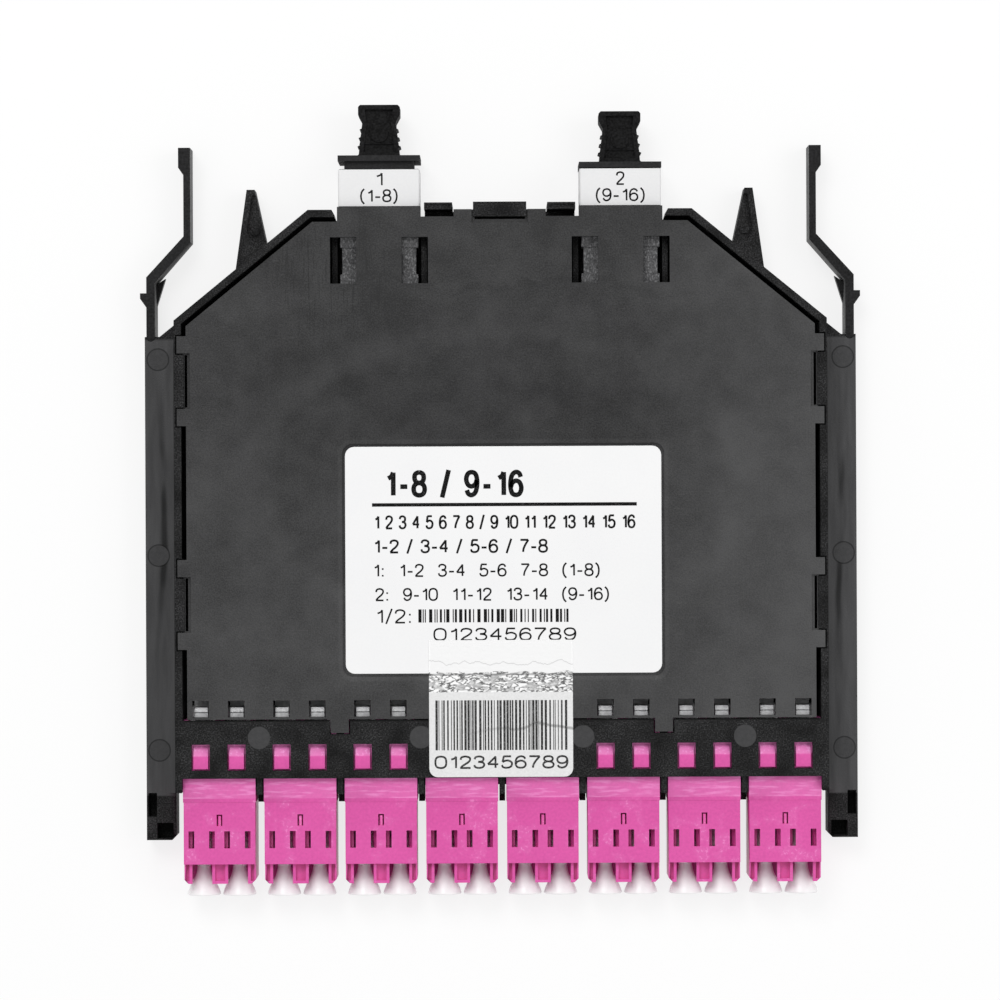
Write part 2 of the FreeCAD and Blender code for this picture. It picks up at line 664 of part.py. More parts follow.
def add_rails(tray):
    """Creased side rails with an open channel below and a diagonal web at the rear."""
    root = SIDE - S.wall_thick / 2
    profile = [
        (root, 0),
        (RAIL_OUT, 0),
        (RAIL_OUT, S.rail_height),
        (SIDE + S.rail_crease, S.rail_height),
        (root, S.rail_height + S.rail_rise),
    ]
    tray.pad("XZ", on_both_sides(profile), S.rail_front_y, S.rail_rear_y)
    web = [
        (root, S.rail_rear_y),
        (SIDE + S.web_run, S.rail_rear_y),
        (SIDE + S.foot_inset, S.rail_rear_y + S.web_rise),
        (root, S.rail_rear_y + S.web_rise),
    ]
    tray.pad("XY", on_both_sides(web), 0, S.rail_height)
    channel = rectangle(SIDE + S.rail_skin, RAIL_OUT - S.arm_root_inset - S.arm_thick - S.rail_skin,
                        S.rail_front_y + S.rail_skin, S.rail_rear_y - S.rail_skin)
    tray.pocket("XY", on_both_sides(channel), 0, S.rail_height - S.rail_skin)
    seats = [
        Disc(arm_axis_x() * side, S.rail_rear_y, S.arm_thick / 2 + S.arm_pivot_fit)
        for _, side in SIDES
    ]
    tray.pocket("XY", seats, 0, S.rail_height)


def add_feet(tray):
    """The pocketed foot in front of each rail."""
    inner = SIDE + S.foot_inset
    front = S.rail_front_y - S.foot_length
    foot = [
        (inner, S.rail_front_y),
        (inner, front + S.foot_corner),
        (inner + S.foot_corner, front),
        (RAIL_OUT, front),
        (RAIL_OUT, S.rail_front_y),
    ]
    tray.pad("XY", on_both_sides(foot), 0, S.rail_height)
    split = inner + S.foot_wall + S.foot_block_width
    outer = rectangle(split, RAIL_OUT - S.foot_wall,
                      S.rail_front_y - S.foot_pocket_length, S.rail_front_y)
    fore = rectangle(inner + S.foot_wall * 2, split,
                     front + S.foot_wall, front + S.foot_wall + S.foot_front_pocket)
    pockets = on_both_sides(outer) + on_both_sides(fore)
    tray.pocket("XY", pockets, S.foot_floor, S.rail_height)


def add_horns(tray):
    """Pointed horns behind the diagonals, each with a sunk inner face and a pin mark."""
    root_outer_y = wall_y(S.horn_root_outer)
    root_inner_y = wall_y(S.horn_root_inner)
    into_wall = S.wall_thick / 2
    horn = [
        (S.horn_root_outer, root_outer_y - into_wall),
        (S.horn_root_outer, root_outer_y),
        (S.horn_tip_outer, S.horn_tip_y),
        (S.horn_tip_inner, S.horn_tip_y),
        (S.horn_root_inner, root_inner_y),
        (S.horn_root_inner, root_inner_y - into_wall),
    ]
    tray.pad("XY", on_both_sides(horn), 0, S.horn_height)
    rim = S.horn_rim * 2
    turn = S.horn_pin_x - S.horn_pin_r
    lean = S.horn_turn_r * HALF_TURN
    face = [
        (S.horn_tip_inner + S.horn_rim, S.horn_tip_y - rim),
        (S.horn_tip_inner - rim, S.horn_tip_y - rim),
        (S.horn_root_inner - S.horn_rim, root_inner_y + rim),
        (turn, S.horn_pin_y - S.horn_turn_r),
        (turn + lean, S.horn_pin_y - lean),
        (turn + S.horn_turn_r, S.horn_pin_y),
    ]
    tray.pocket("XY", on_both_sides(face), S.horn_face, S.horn_height)
    pin = flats(S.horn_pin_x, S.horn_pin_y, S.horn_pin_r, PIN_FLATS)
    tray.pad("XY", on_both_sides(pin), S.horn_face - S.horn_pin_rise, S.horn_face + S.horn_pin_rise)


def wall_y(x):
    """Outer face of the diagonal wall at a distance from the middle."""
    return REAR - S.corner_run_y + (SIDE - x) * S.corner_run_y / S.corner_run_x


def build_base():
    """The moulded tray with its walls, seats, hooks, rails, feet and horns."""
    tray = Moulding("base_shell")
    tray.pad("XY", [closed_by_mirror(tray_outline())], 0, S.floor_thick)
    add_rails(tray)
    add_feet(tray)
    add_horns(tray)
    add_walls(tray)
    add_rear_hook_and_ears(tray)
    add_side_hooks(tray)
    add_mpo_seats(tray)
    add_adapter_row(tray)
    return tray.finish()


# --------------------------------------------------------------------------- cover

def cover_outline():
    """Right half of the cover: rear edge, tongue, diagonal, tabs and ledges, front tab."""
    inset = S.wall_thick + S.cover_gap
    rear_corner, side_corner = diagonal_corners(inset)
    edge = SIDE - inset
    ledge = SIDE - S.wall_thick - S.tab_fit
    tab = edge + S.tab_reach
    bay = MPO_X + S.tongue_width / 2
    half = [
        (S.ear_inner - S.tab_fit, REAR),
        (S.ear_inner - S.tab_fit, REAR_WALL_FRONT),
        (MPO_X - S.tongue_width / 2, REAR_WALL_FRONT),
        (MPO_X - S.tongue_width / 2, S.tongue_end_y),
        (bay, S.tongue_end_y),
        (bay, REAR - inset),
        rear_corner,
        side_corner,
    ]
    spans = tab_spans()
    for upper, lower in (spans[0:2], spans[2:4]):
        half += [
            (edge, upper[1]), (tab, upper[1]), (tab, upper[0]), (ledge, upper[0]),
            (ledge, lower[1]), (tab, lower[1]), (tab, lower[0]), (edge, lower[0]),
        ]
    corner, front = front_tab(0)[1], front_tab(0)[0]
    half += [(edge, COVER_FRONT), (corner[0], COVER_FRONT), corner, front, (front[0], COVER_FRONT)]
    return half


def build_cover():
    """The flat cover with its ledges, windows and label recess."""
    cover = Moulding("cover")
    cover.pad("XY", [closed_by_mirror(cover_outline())], SEAT_Z, TOP)
    head = SIDE - S.wall_thick - S.hook_overhang
    ledges = [
        flipped(rectangle(head - S.ledge_show, SIDE, low, high), side)
        for low, high in hook_spans() for _, side in SIDES
    ]
    half = S.rear_hook_half + S.tab_fit
    ledges.append(rectangle(-half, half, REAR_WALL_FRONT - S.ledge_show, REAR + S.wall_thick))
    cover.pocket("XY", ledges, SEAT_Z + S.ledge_thick, TOP)
    outer = head - S.slot_off
    slots = [
        flipped(rectangle(outer - S.slot_width, outer, low + S.tab_fit, high - S.tab_fit), side)
        for low, high in hook_spans() for _, side in SIDES
    ]
    half = S.rear_hook_half - S.tab_fit
    slots.append(rectangle(-half, half, REAR_WALL_FRONT - S.slot_width, REAR_WALL_FRONT))
    cover.pocket("XY", slots, SEAT_Z, SEAT_Z + S.ledge_thick)
    plug_windows = [
        block(adapter_x(0) + S.lc_port_pitch / 2 * side, S.plug_window,
              S.plug_window_y - S.plug_window / 2, S.plug_window_y + S.plug_window / 2)
        for side in PORT_SIDES
    ]
    cut = cover.pocket("XY", plug_windows, SEAT_Z, TOP)
    cover.repeat(cut, LC_COUNT, LC_PITCH * (LC_COUNT - 1))
    mpo_windows = []
    for _, side in SIDES:
        window = rectangle(
            S.mpo_window_inner, S.mpo_window_outer, S.mpo_window_front_y, S.mpo_window_rear_y
        )
        mpo_windows += [
            [(x + MPO_X * side, y) for x, y in loop] for loop in on_both_sides(window)
        ]
    cover.pocket("XY", mpo_windows, SEAT_Z, TOP)
    wide = S.label_width + S.label_margin * 2
    long = S.label_length + S.label_margin * 2
    recess = block(S.label_x, wide, S.label_y - long / 2, S.label_y + long / 2)
    cover.pocket("XY", [recess], TOP - S.label_recess, TOP)
    corner_x = (S.label_x - wide / 2).value, (S.label_x + wide / 2).value
    cover.dress("Fillet", S.label_corner_r, lambda edge: stands_at(edge, corner_x, S.label_recess.value))
    return cover.finish()


def stands_at(edge, places, height):
    """True for an upright edge of that height at one of the places across."""
    box = edge.BoundBox
    upright = box.XLength < 1e-6 and box.YLength < 1e-6 and abs(box.ZLength - height) < 1e-6
    return upright and any(abs(box.XMin - x) < 1e-6 for x in places)


# --------------------------------------------------------------------- latch arms

def arm_axis_x():
    """Middle of the arm's root, from the middle of the case."""
    return RAIL_OUT - S.arm_root_inset - S.arm_thick / 2


def build_latch_arm(name, side):
    """A bent arm with a catch, a tip pad and a low web in its inner bend."""
    arm = Moulding(name)
    outer = RAIL_OUT - S.arm_root_inset
    inner = outer - S.arm_thick
    upper_in = S.arm_upper_outer - S.arm_upper_thick
    pad_y = S.arm_tip_y - S.tip_pad_length
    shape = [
        (inner, S.rail_rear_y),
        (outer, S.rail_rear_y),
        (outer, S.catch_rear_y - S.catch_land - S.catch_ramp),
        (outer + S.catch_reach, S.catch_rear_y - S.catch_land),
        (outer + S.catch_reach, S.catch_rear_y),
        (outer, S.catch_rear_y),
        (outer, S.arm_low_y),
        (S.arm_upper_outer, S.arm_bend_y),
        (S.arm_upper_outer, pad_y - S.tip_pad_slope),
        (S.arm_upper_outer + S.tip_pad_reach, pad_y),
        (S.arm_upper_outer + S.tip_pad_reach, S.arm_tip_y),
        (upper_in, S.arm_tip_y),
        (upper_in, S.arm_bend_y - S.arm_bend_drop),
        (inner, S.arm_low_y - S.arm_bend_drop),
    ]
    arm.pad("XY", [flipped(shape, side)], 0, S.arm_height)
    arm.pad("XY", [Disc(arm_axis_x() * side, S.rail_rear_y, S.arm_thick / 2)], 0, S.arm_height)
    web = [
        (inner, S.gusset_low_y),
        (inner, S.arm_low_y - S.arm_bend_drop),
        (inner - S.arm_thick, S.arm_low_y),
    ]
    arm.pad("XY", [flipped(web, side)], 0, S.gusset_height)
    return arm.finish()


# ------------------------------------------------------------------- LC adapters

def lc_place(index, port=0):
    """Middle of an adapter, or of one of its ports on the port's axis, at the parting line."""
    if port == 0:
        return adapter_x(index), S.lc_mid_y, S.floor_thick
    return adapter_x(index) + S.lc_port_pitch / 2 * port, S.lc_mid_y, LC_AXIS_Z


def build_lc_adapter(index):
    """A duplex adapter: two-part housing, open ports, sleeve holders, slots and bosses."""
    adapter = Moulding(f"lc_adapter_{index + 1}", lc_place(index))
    end, roof = S.lc_half_length, S.lc_roof_length
    front_width = S.lc_width - S.lc_step * 2
    adapter.pad("XZ", [block(0, S.lc_width, 0, S.lc_height)], 0, end)
    half = front_width / 2
    front = [
        (-half, 0), (half, 0), (half, -end + S.lc_corner), (half - S.lc_corner, -end),
        (-half + S.lc_corner, -end), (-half, -end + S.lc_corner),
    ]
    adapter.pad("XY", [front], 0, S.lc_height - S.lc_step)
    bay_top = S.lc_bay_floor + S.lc_bay_height
    leg_top = S.lc_height - S.leg_drop
    web = S.lc_partition / 2
    middles = [S.lc_port_pitch / 2 * port for port in PORT_SIDES]
    low_bays = [block(x, S.lc_bay_width, S.lc_bay_floor, S.key_floor) for x in middles]
    keys = [block(x, S.key_width, S.lc_bay_floor, bay_top) for x in middles]
    bays = [block(x, S.lc_bay_width, S.lc_bay_floor, bay_top) for x in middles]
    mouths = [block(x, S.lc_bay_width, S.lc_bay_floor, S.lc_height * 2) for x in middles]
    adapter.pocket("XZ", low_bays, -end, -web)
    adapter.pocket("XZ", keys, -end, -web)
    adapter.pocket("XZ", [block(0, S.lc_width, leg_top, S.lc_height * 2)], -end, -roof)
    adapter.pocket("XZ", bays, web, end)
    adapter.pocket("XZ", mouths, roof, end)
    rim = S.leg_rim
    inner = (S.lc_port_pitch + S.key_width) / 2 + rim
    recess_end = rim - end
    recesses = on_both_sides(rectangle(inner, half - rim / 2, recess_end, -roof))
    recesses.append(block(0, S.lc_port_pitch - S.key_width - rim * 2, recess_end, -roof))
    adapter.pocket("XY", recesses, leg_top - S.leg_recess, leg_top)
    holders = [flats(x, S.lc_axis_height, S.lc_holder_r, HOLDER_FLATS) for x in middles]
    bores = [flats(x, S.lc_axis_height, S.lc_holder_bore_r, HOLDER_FLATS, hole=True) for x in middles]
    adapter.pad("XZ", holders, -S.lc_holder_reach, S.lc_holder_reach)
    adapter.pocket("XZ", bores, -S.lc_holder_reach, S.lc_holder_reach)
    slots = [
        block(x + S.catch_slot_off * hand, S.catch_slot_width,
              -S.catch_slot_y - S.catch_slot_length, -S.catch_slot_y)
        for x in middles for hand in PORT_SIDES
    ]
    slots.append(block(0, S.catch_slot_width, -S.key_slot_y - S.key_slot_length, -S.key_slot_y))
    slot_floor = S.key_floor + rim
    adapter.pocket("XY", slots, slot_floor, S.lc_height)
    tongue = block(0, S.key_tongue_width, -S.key_slot_y - S.key_slot_length, -S.key_slot_y - rim / 2)
    adapter.pad("XY", [tongue], slot_floor - S.lc_step, S.lc_height - S.key_tongue_drop)
    boss = [
        (S.boss_front, S.lc_height - S.lc_step),
        (S.boss_front, S.lc_height + S.boss_height),
        (S.boss_front + S.boss_flat, S.lc_height + S.boss_height),
        (S.boss_front + S.boss_flat + S.boss_ramp, S.lc_height),
        (S.boss_front + S.boss_flat + S.boss_ramp, S.lc_height - S.lc_step),
    ]
    for x in middles:
        adapter.pad("YZ", [boss], x - S.boss_width / 2, x + S.boss_width / 2)
    return adapter.finish()


def build_sleeves():
    """The sixteen split sleeves, one in each port, as one set."""
    gap = math.asin(S.sleeve_slot.value / 2 / S.sleeve_r.value)
    step = (2 * math.pi - 2 * gap) / HOLDER_FLATS
    sweep = [gap + step * corner for corner in range(HOLDER_FLATS + 1)]
    bore_r = S.sleeve_bore_r.value / math.cos(step / 2)
    ring = [(S.sleeve_r.value, turn) for turn in sweep]
    ring += [(bore_r, turn) for turn in reversed(sweep)]
    half = S.sleeve_length.value / 2
    section = [FreeCAD.Vector(r * math.sin(turn), -half, r * math.cos(turn)) for r, turn in ring]
    sleeve = Part.Face(Part.makePolygon(section + section[:1])).extrude(FreeCAD.Vector(0, half * 2, 0))
    sleeves = []
    for index in range(LC_COUNT):
        for port in PORT_SIDES:
            copy = sleeve.copy()
            copy.translate(FreeCAD.Vector(*[size.value for size in lc_place(index, port)]))
            sleeves.append(copy)
    return plain_feature("alignment_sleeves", Part.makeCompound(sleeves))


def plain_feature(label, shape, place=(0, 0, 0)):
    """A shape as a document object of its own, moved to its place."""
    made = DOC.addObject("Part::Feature", label)
    made.Label = label
    made.Shape = shape
    made.Placement = FreeCAD.Placement()
    for axis, value in zip("xyz", place):
        made.setExpression(f"Placement.Base.{axis}", Size.of(value).text)
    return made


def turned_in_flats(profile, sides):
    """A solid turned about Y in flats, from (radius, y) pairs that start and end on the axis."""
    def spot(radius, y, turn):
        return FreeCAD.Vector(radius * math.cos(turn), y, radius * math.sin(turn))

    turns = [2 * math.pi * side / sides for side in range(sides)] + [0]
    rings = [[spot(radius, y, turn) for turn in turns] for radius, y in profile[1:-1]]
    faces = [Part.Face(Part.makePolygon(ring)) for ring in (rings[0], rings[-1])]
    heights = [y for _, y in profile[1:-1]]
    for y, next_y, ring, following in zip(heights, heights[1:], rings, rings[1:]):
        if y == next_y:
            rims = [Part.makePolygon(ring), Part.makePolygon(following)]
            faces.append(Part.makeFace(rims, "Part::FaceMakerBullseye"))
            continue
        for a, b, c, d in zip(ring, ring[1:], following[1:], following):
            faces.append(Part.Face(Part.makePolygon([a, b, c, d, a])))
    shell = Part.Compound(faces)
    shell.sewShape()
    solid = Part.Solid(shell.Shells[0])
    return solid if solid.Volume > 0 else Part.Solid(shell.Shells[0].reversed())


def build_lc_cap(index, port):
    """A dust cap: a socket over the sleeve holder, a slim waist and a flared rim."""
    number = 2 * index + (1 if port < 0 else 2)
    face = -S.cap_end
    nose = face + S.cap_length
    profile = [
        (Size.of(0), face),
        (S.cap_rim_r, face),
        (S.cap_rim_r, face + S.cap_rim),
        (S.cap_neck_r, face + S.cap_rim + S.cap_flare),
        (S.cap_waist_r, face + S.cap_waist),
        (S.cap_nose_r, face + S.cap_shoulder),
        (S.cap_nose_r, nose),
        (S.cap_bore_r, nose),
        (S.cap_bore_r, nose - S.cap_bore_depth),
        (Size.of(0), nose - S.cap_bore_depth),
    ]
    shape = turned_in_flats([(radius.value, y.value) for radius, y in profile], CAP_FLATS)
    return plain_feature(f"lc_dust_cap_{number}", shape, lc_place(index, port))


def build_lc_plug(index, port):
    """A plug inside the case: ferrule, housing, latch lever with two ridges, and boot."""
    number = 2 * index + (1 if port < 0 else 2)
    plug = Moulding(f"lc_plug_{number}", lc_place(index, port))
    half = S.plug_width / 2
    plug.pad("XZ", [block(0, S.plug_width, -half, half)], S.plug_front, S.plug_rear)
    ridge = S.trigger_width / 3
    lever = [
        (S.plug_front, half),
        (S.plug_front + ridge, half),
        (S.plug_rear - ridge * 3, S.trigger_top - ridge),
        (S.plug_rear - ridge * 2.25, S.trigger_top),
        (S.plug_rear - ridge * 1.25, S.trigger_top),
        (S.plug_rear - ridge * 1.1, S.trigger_top - ridge / 2),
        (S.plug_rear - ridge, S.trigger_top),
        (S.plug_rear, S.trigger_top - ridge / 3),
        (S.plug_rear, half),
    ]
    plug.pad("YZ", [lever], -S.trigger_width / 2, S.trigger_width / 2)
    ferrule = flats(Size.of(0), Size.of(0), S.ferrule_r, HOLDER_FLATS)
    plug.pad("XZ", [ferrule], S.ferrule_gap, S.plug_front)
    plug.pad("XZ", [block(0, S.boot_r * 2, -S.boot_r, S.boot_r)], S.plug_rear, S.plug_rear + S.boot_length)
    return plug.finish()


# ------------------------------------------------------------------ MPO adapters

def build_mpo_adapter(number, side):
    """A straight-through MPO adapter with a waist for its seat and a mouth at each end."""
    adapter = Moulding(f"mpo_adapter_{number}", (MPO_X * side, 0, S.floor_thick))
    wide, body, waist = S.mpo_width / 2, S.mpo_body_width / 2, S.mpo_waist_width / 2
    half = [
        (wide, S.mpo_end_y),
        (wide, S.mpo_shoulder_y),
        (body, S.mpo_shoulder_y),
        (body, S.waist_rear_y),
        (waist, S.waist_rear_y),
        (waist, S.waist_front_y),
        (body, S.waist_front_y),
        (body, S.mpo_inner_y),
    ]
    adapter.pad("XY", [closed_by_mirror(half)], 0, S.mpo_height)
    step = block(0, S.mpo_width, S.waist_front_y, S.waist_rear_y)
    adapter.pocket("XY", [step], S.mpo_height - S.waist_step, S.mpo_height)
    middle = S.mpo_height / 2
    bore = block(0, S.mpo_bore_width, middle - S.mpo_bore_height / 2, middle + S.mpo_bore_height / 2)
    mouth = block(0, S.mpo_mouth_width, middle - S.mpo_mouth_height / 2, middle + S.mpo_mouth_height / 2)
    adapter.pocket("XZ", [bore], S.mpo_inner_y, S.mpo_end_y)
    adapter.pocket("XZ", [mouth], S.mpo_inner_y, S.mpo_inner_y + S.mpo_mouth_depth)
    adapter.pocket("XZ", [mouth], S.mpo_end_y - S.mpo_mouth_depth, S.mpo_end_y)
    return adapter.finish()


def build_mpo_cap(number, side, pulled):
    """A pull-off cap: stub with a socket, flange, and a waisted grip with a dished face."""
    face = S.mpo_end_y + S.flange_gap + pulled
    cap = Moulding(f"mpo_dust_cap_{number}", (MPO_X * side, face, MPO_Z))
    cap.pad("XZ", [centred(S.flange_width, S.flange_height)], 0, S.flange_thick)
    cap.pad("XZ", [centred(S.stub_width, S.stub_height)], -S.stub_length, 0)
    cap.pocket("XZ", [centred(S.stub_socket_width, S.stub_socket_height)], -S.stub_length, 0)
    root = S.flange_thick
    base, waist, head = S.grip_base / 2, S.grip_waist / 2, S.grip_head / 2
    tip = root + S.grip_length
    neck = root + S.grip_waist_y
    outline = [
        (head - S.grip_rib, tip),
        (head, tip - S.grip_rib),
        (head, tip - S.grip_head_length + S.grip_rib),
        (waist, neck + S.grip_rib),
        (waist, neck),
    ]
    for step in range(GRIP_RIBS):
        share = (2 * step + 1) / (2 * GRIP_RIBS)
        y = neck - S.grip_ribbed * share
        x = waist + (base - waist) * share
        outline += [(x, y), (x + S.grip_rib, y - S.grip_rib / 2), (x, y - S.grip_rib)]
    outline += [(base, root + S.grip_rib), (base + S.grip_rib, root)]
    cap.pad("XY", [closed_by_mirror(outline)], -S.grip_thick / 2, S.grip_thick / 2)
    dish = [
        (head - S.grip_rim * 1.5, tip - S.grip_rim),
        (waist - S.grip_rim, neck),
        (base - S.grip_rim, root + S.grip_rim),
    ]
    top, low = S.grip_thick / 2, S.grip_thick / 2 - S.grip_dish
    cap.pocket("XY", [closed_by_mirror(dish)], low, top)
    cap.pocket("XY", [closed_by_mirror(dish)], -top, -low)
    panel = block(0, S.grip_panel_width, root + S.grip_panel_front, root + S.grip_panel_rear)
    raised = low + S.grip_panel_rise
    cap.pad("XY", [panel], -raised, raised)
    cap.pad("XY", [Disc(0, root + S.grip_boss_y, S.grip_boss_r)], -top, top)
    return cap.finish()


def centred(width, height):
    """Corners of a rectangle about the axis."""
    return rectangle(-width / 2, width / 2, -height / 2, height / 2)


def build_mpo_plug(number, side):
    """The plug inside the case: ferrule in the adapter, shell behind it, tapered boot."""
    plug = Moulding(f"mpo_plug_{number}", (MPO_X * side, 0, MPO_Z))
    plug.pad("XZ", [centred(S.shell_width, S.shell_height)], S.shell_rear_y, S.shell_front_y)
    plug.pad("XZ", [centred(S.stub_width, S.stub_height)], S.shell_front_y, S.waist_front_y)
    plug.pad("XZ", [centred(S.ferrule_width, S.ferrule_height)], S.waist_front_y, S.ferrule_end_y)
    boot = [
        (-S.mpo_boot_tip / 2, S.mpo_boot_end_y), (S.mpo_boot_tip / 2, S.mpo_boot_end_y),
        (S.mpo_boot_base / 2, S.shell_rear_y), (-S.mpo_boot_base / 2, S.shell_rear_y),
    ]
    plug.pad("XY", [boot], -S.mpo_boot_tip / 2, S.mpo_boot_tip / 2)
    return plug.finish()


def build_port_label(number, side):
    """A paper band wrapped round the adapter's outer part."""
    label = Moulding(f"port_label_{number}", (MPO_X * side, 0, MPO_Z))
    outside = centred(S.mpo_width + S.paper_thick * 2, S.mpo_height + S.paper_thick * 2)
    label.pad("XZ", [outside], S.band_front_y, S.band_rear_y)
    label.pocket("XZ", [centred(S.mpo_width, S.mpo_height)], S.band_front_y, S.band_rear_y)
    return label.finish()


# ------------------------------------------------------------- labels and harness

def build_id_label():
    """The paper label in the cover's recess."""
    label = Moulding("id_label", (S.label_x, S.label_y, TOP - S.label_recess))
    label.pad("XY", [centred(S.label_width, S.label_length)], 0, S.paper_thick)
    reach = S.label_corner_r - S.label_margin
    corners = (-S.label_width.value / 2, S.label_width.value / 2)
    label.dress("Fillet", reach, lambda edge: stands_at(edge, corners, S.paper_thick.value))
    return label.finish()


def build_seal_sticker():
    """The sticker that bridges the label, the cover and the front bar."""
    sticker = Moulding("seal_sticker", (S.seal_x, 0, TOP))
    half = S.seal_width / 2
    outline = [
        (half, S.seal_rear_y),
        (half, S.seal_front_y + S.seal_corner),
        (half - S.seal_corner, S.seal_front_y),
    ]
    sticker.pad("XY", [closed_by_mirror(outline)], 0, S.paper_thick)
    return sticker.finish()


def square_run(width, height, start, end):
    """A straight run between two points, its rectangular ends both square to Y."""
    corners = [
        start + FreeCAD.Vector(across * width / 2, 0, up * height / 2)
        for across, up in ((-1, -1), (1, -1), (1, 1), (-1, 1), (-1, -1))
    ]
    return Part.Face(Part.makePolygon(corners)).extrude(end - start)


def build_harness(number, side):
    """The ribbon from one MPO plug, its fan-out block and eight fibres to the LC plugs."""
    middle = (MPO_X * side).value
    axis_z = LC_AXIS_Z.value
    plug_back = (S.lc_mid_y + S.plug_rear + S.boot_length).value
    split_rear = S.trunk_end_y.value
    split_front = split_rear - S.split_length.value
    trunk = square_run(
        S.trunk_width.value, S.trunk_height.value,
        FreeCAD.Vector(middle, split_rear, MPO_Z.value),
        FreeCAD.Vector(middle, S.mpo_boot_end_y.value, MPO_Z.value),
    )
    block_low = MPO_Z.value - S.split_height.value / 2
    fan = Part.makeBox(S.split_width.value, S.split_length.value, S.split_height.value,
                       FreeCAD.Vector(middle - S.split_width.value / 2, split_front, block_low))
    pieces = [trunk, fan]
    ports = [(index, port) for index in range(LC_COUNT) for port in PORT_SIDES]
    own = ports[:LC_COUNT] if side < 0 else ports[LC_COUNT:]
    spacing = S.split_width.value / LC_COUNT
    for order, (index, port) in enumerate(own):
        start_x = middle + (order - (LC_COUNT - 1) / 2) * spacing
        x = lc_place(index, port)[0].value
        start = FreeCAD.Vector(start_x, split_front, MPO_Z.value)
        end = FreeCAD.Vector(x, plug_back, axis_z)
        pieces.append(square_run(S.fibre_width.value, S.fibre_width.value, start, end))
    return plain_feature(f"fibre_harness_{number}", Part.makeCompound(pieces))


# ---------------------------------------------------------------------- the whole

def build_all():
    """Every sub-part, in the order in which the cassette is put together."""
    parts = [build_base()]
    for index in range(LC_COUNT):
        parts.append(build_lc_adapter(index))
    parts.append(build_sleeves())
    for index in range(LC_COUNT):
        for port in PORT_SIDES:
            parts.append(build_lc_plug(index, port))
            parts.append(build_lc_cap(index, port))
    for number, (_, side) in enumerate(SIDES, start=1):
        pulled = S.cap_pulled if side < 0 else Size.of(0)
        parts.append(build_mpo_adapter(number, side))
        parts.append(build_mpo_plug(number, side))
        parts.append(build_mpo_cap(number, side, pulled))
        parts.append(build_port_label(number, side))
        parts.append(build_harness(number, side))
    parts.append(build_cover())
    parts.append(build_id_label())
    parts.append(build_seal_sticker())
    for name, side in SIDES:
        parts.append(build_latch_arm(f"latch_arm_{name}", side))
    return parts


def check(parts):
    """Stop if any object failed, any cut took nothing away, or any sub-part is not sound."""
    for item in DOC.Objects:
        if "Invalid" in item.State or "Error" in item.State:
            raise RuntimeError(f"{item.Label} failed: {item.State}")
    for cut in CHECKED_CUTS:
        if cut.BaseFeature.Shape.Volume - cut.Shape.Volume < 1e-6:
            raise RuntimeError(f"{cut.Label} cuts nothing")
    for part in parts:
        if part.Shape.isNull() or not part.Shape.isValid():
            raise RuntimeError(f"{part.Label} has no sound shape")


def main():
    """Build, check and write every sub-part."""
    parts = build_all()
    DOC.recompute()
    check(parts)
    os.makedirs("parts", exist_ok=True)
    for part in parts:
        part.Shape.exportStep(os.path.join("parts", f"{part.Label}.step"))


main()
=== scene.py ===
"""Looks of a flat fibre cassette: tray, cover, spring arms, adapters, dust caps and labels.

All lengths in the classes are millimetres in the shared frame, with +X to the right, +Y to the rear
and +Z up; the meshes themselves are in metres, as the frame is.
"""

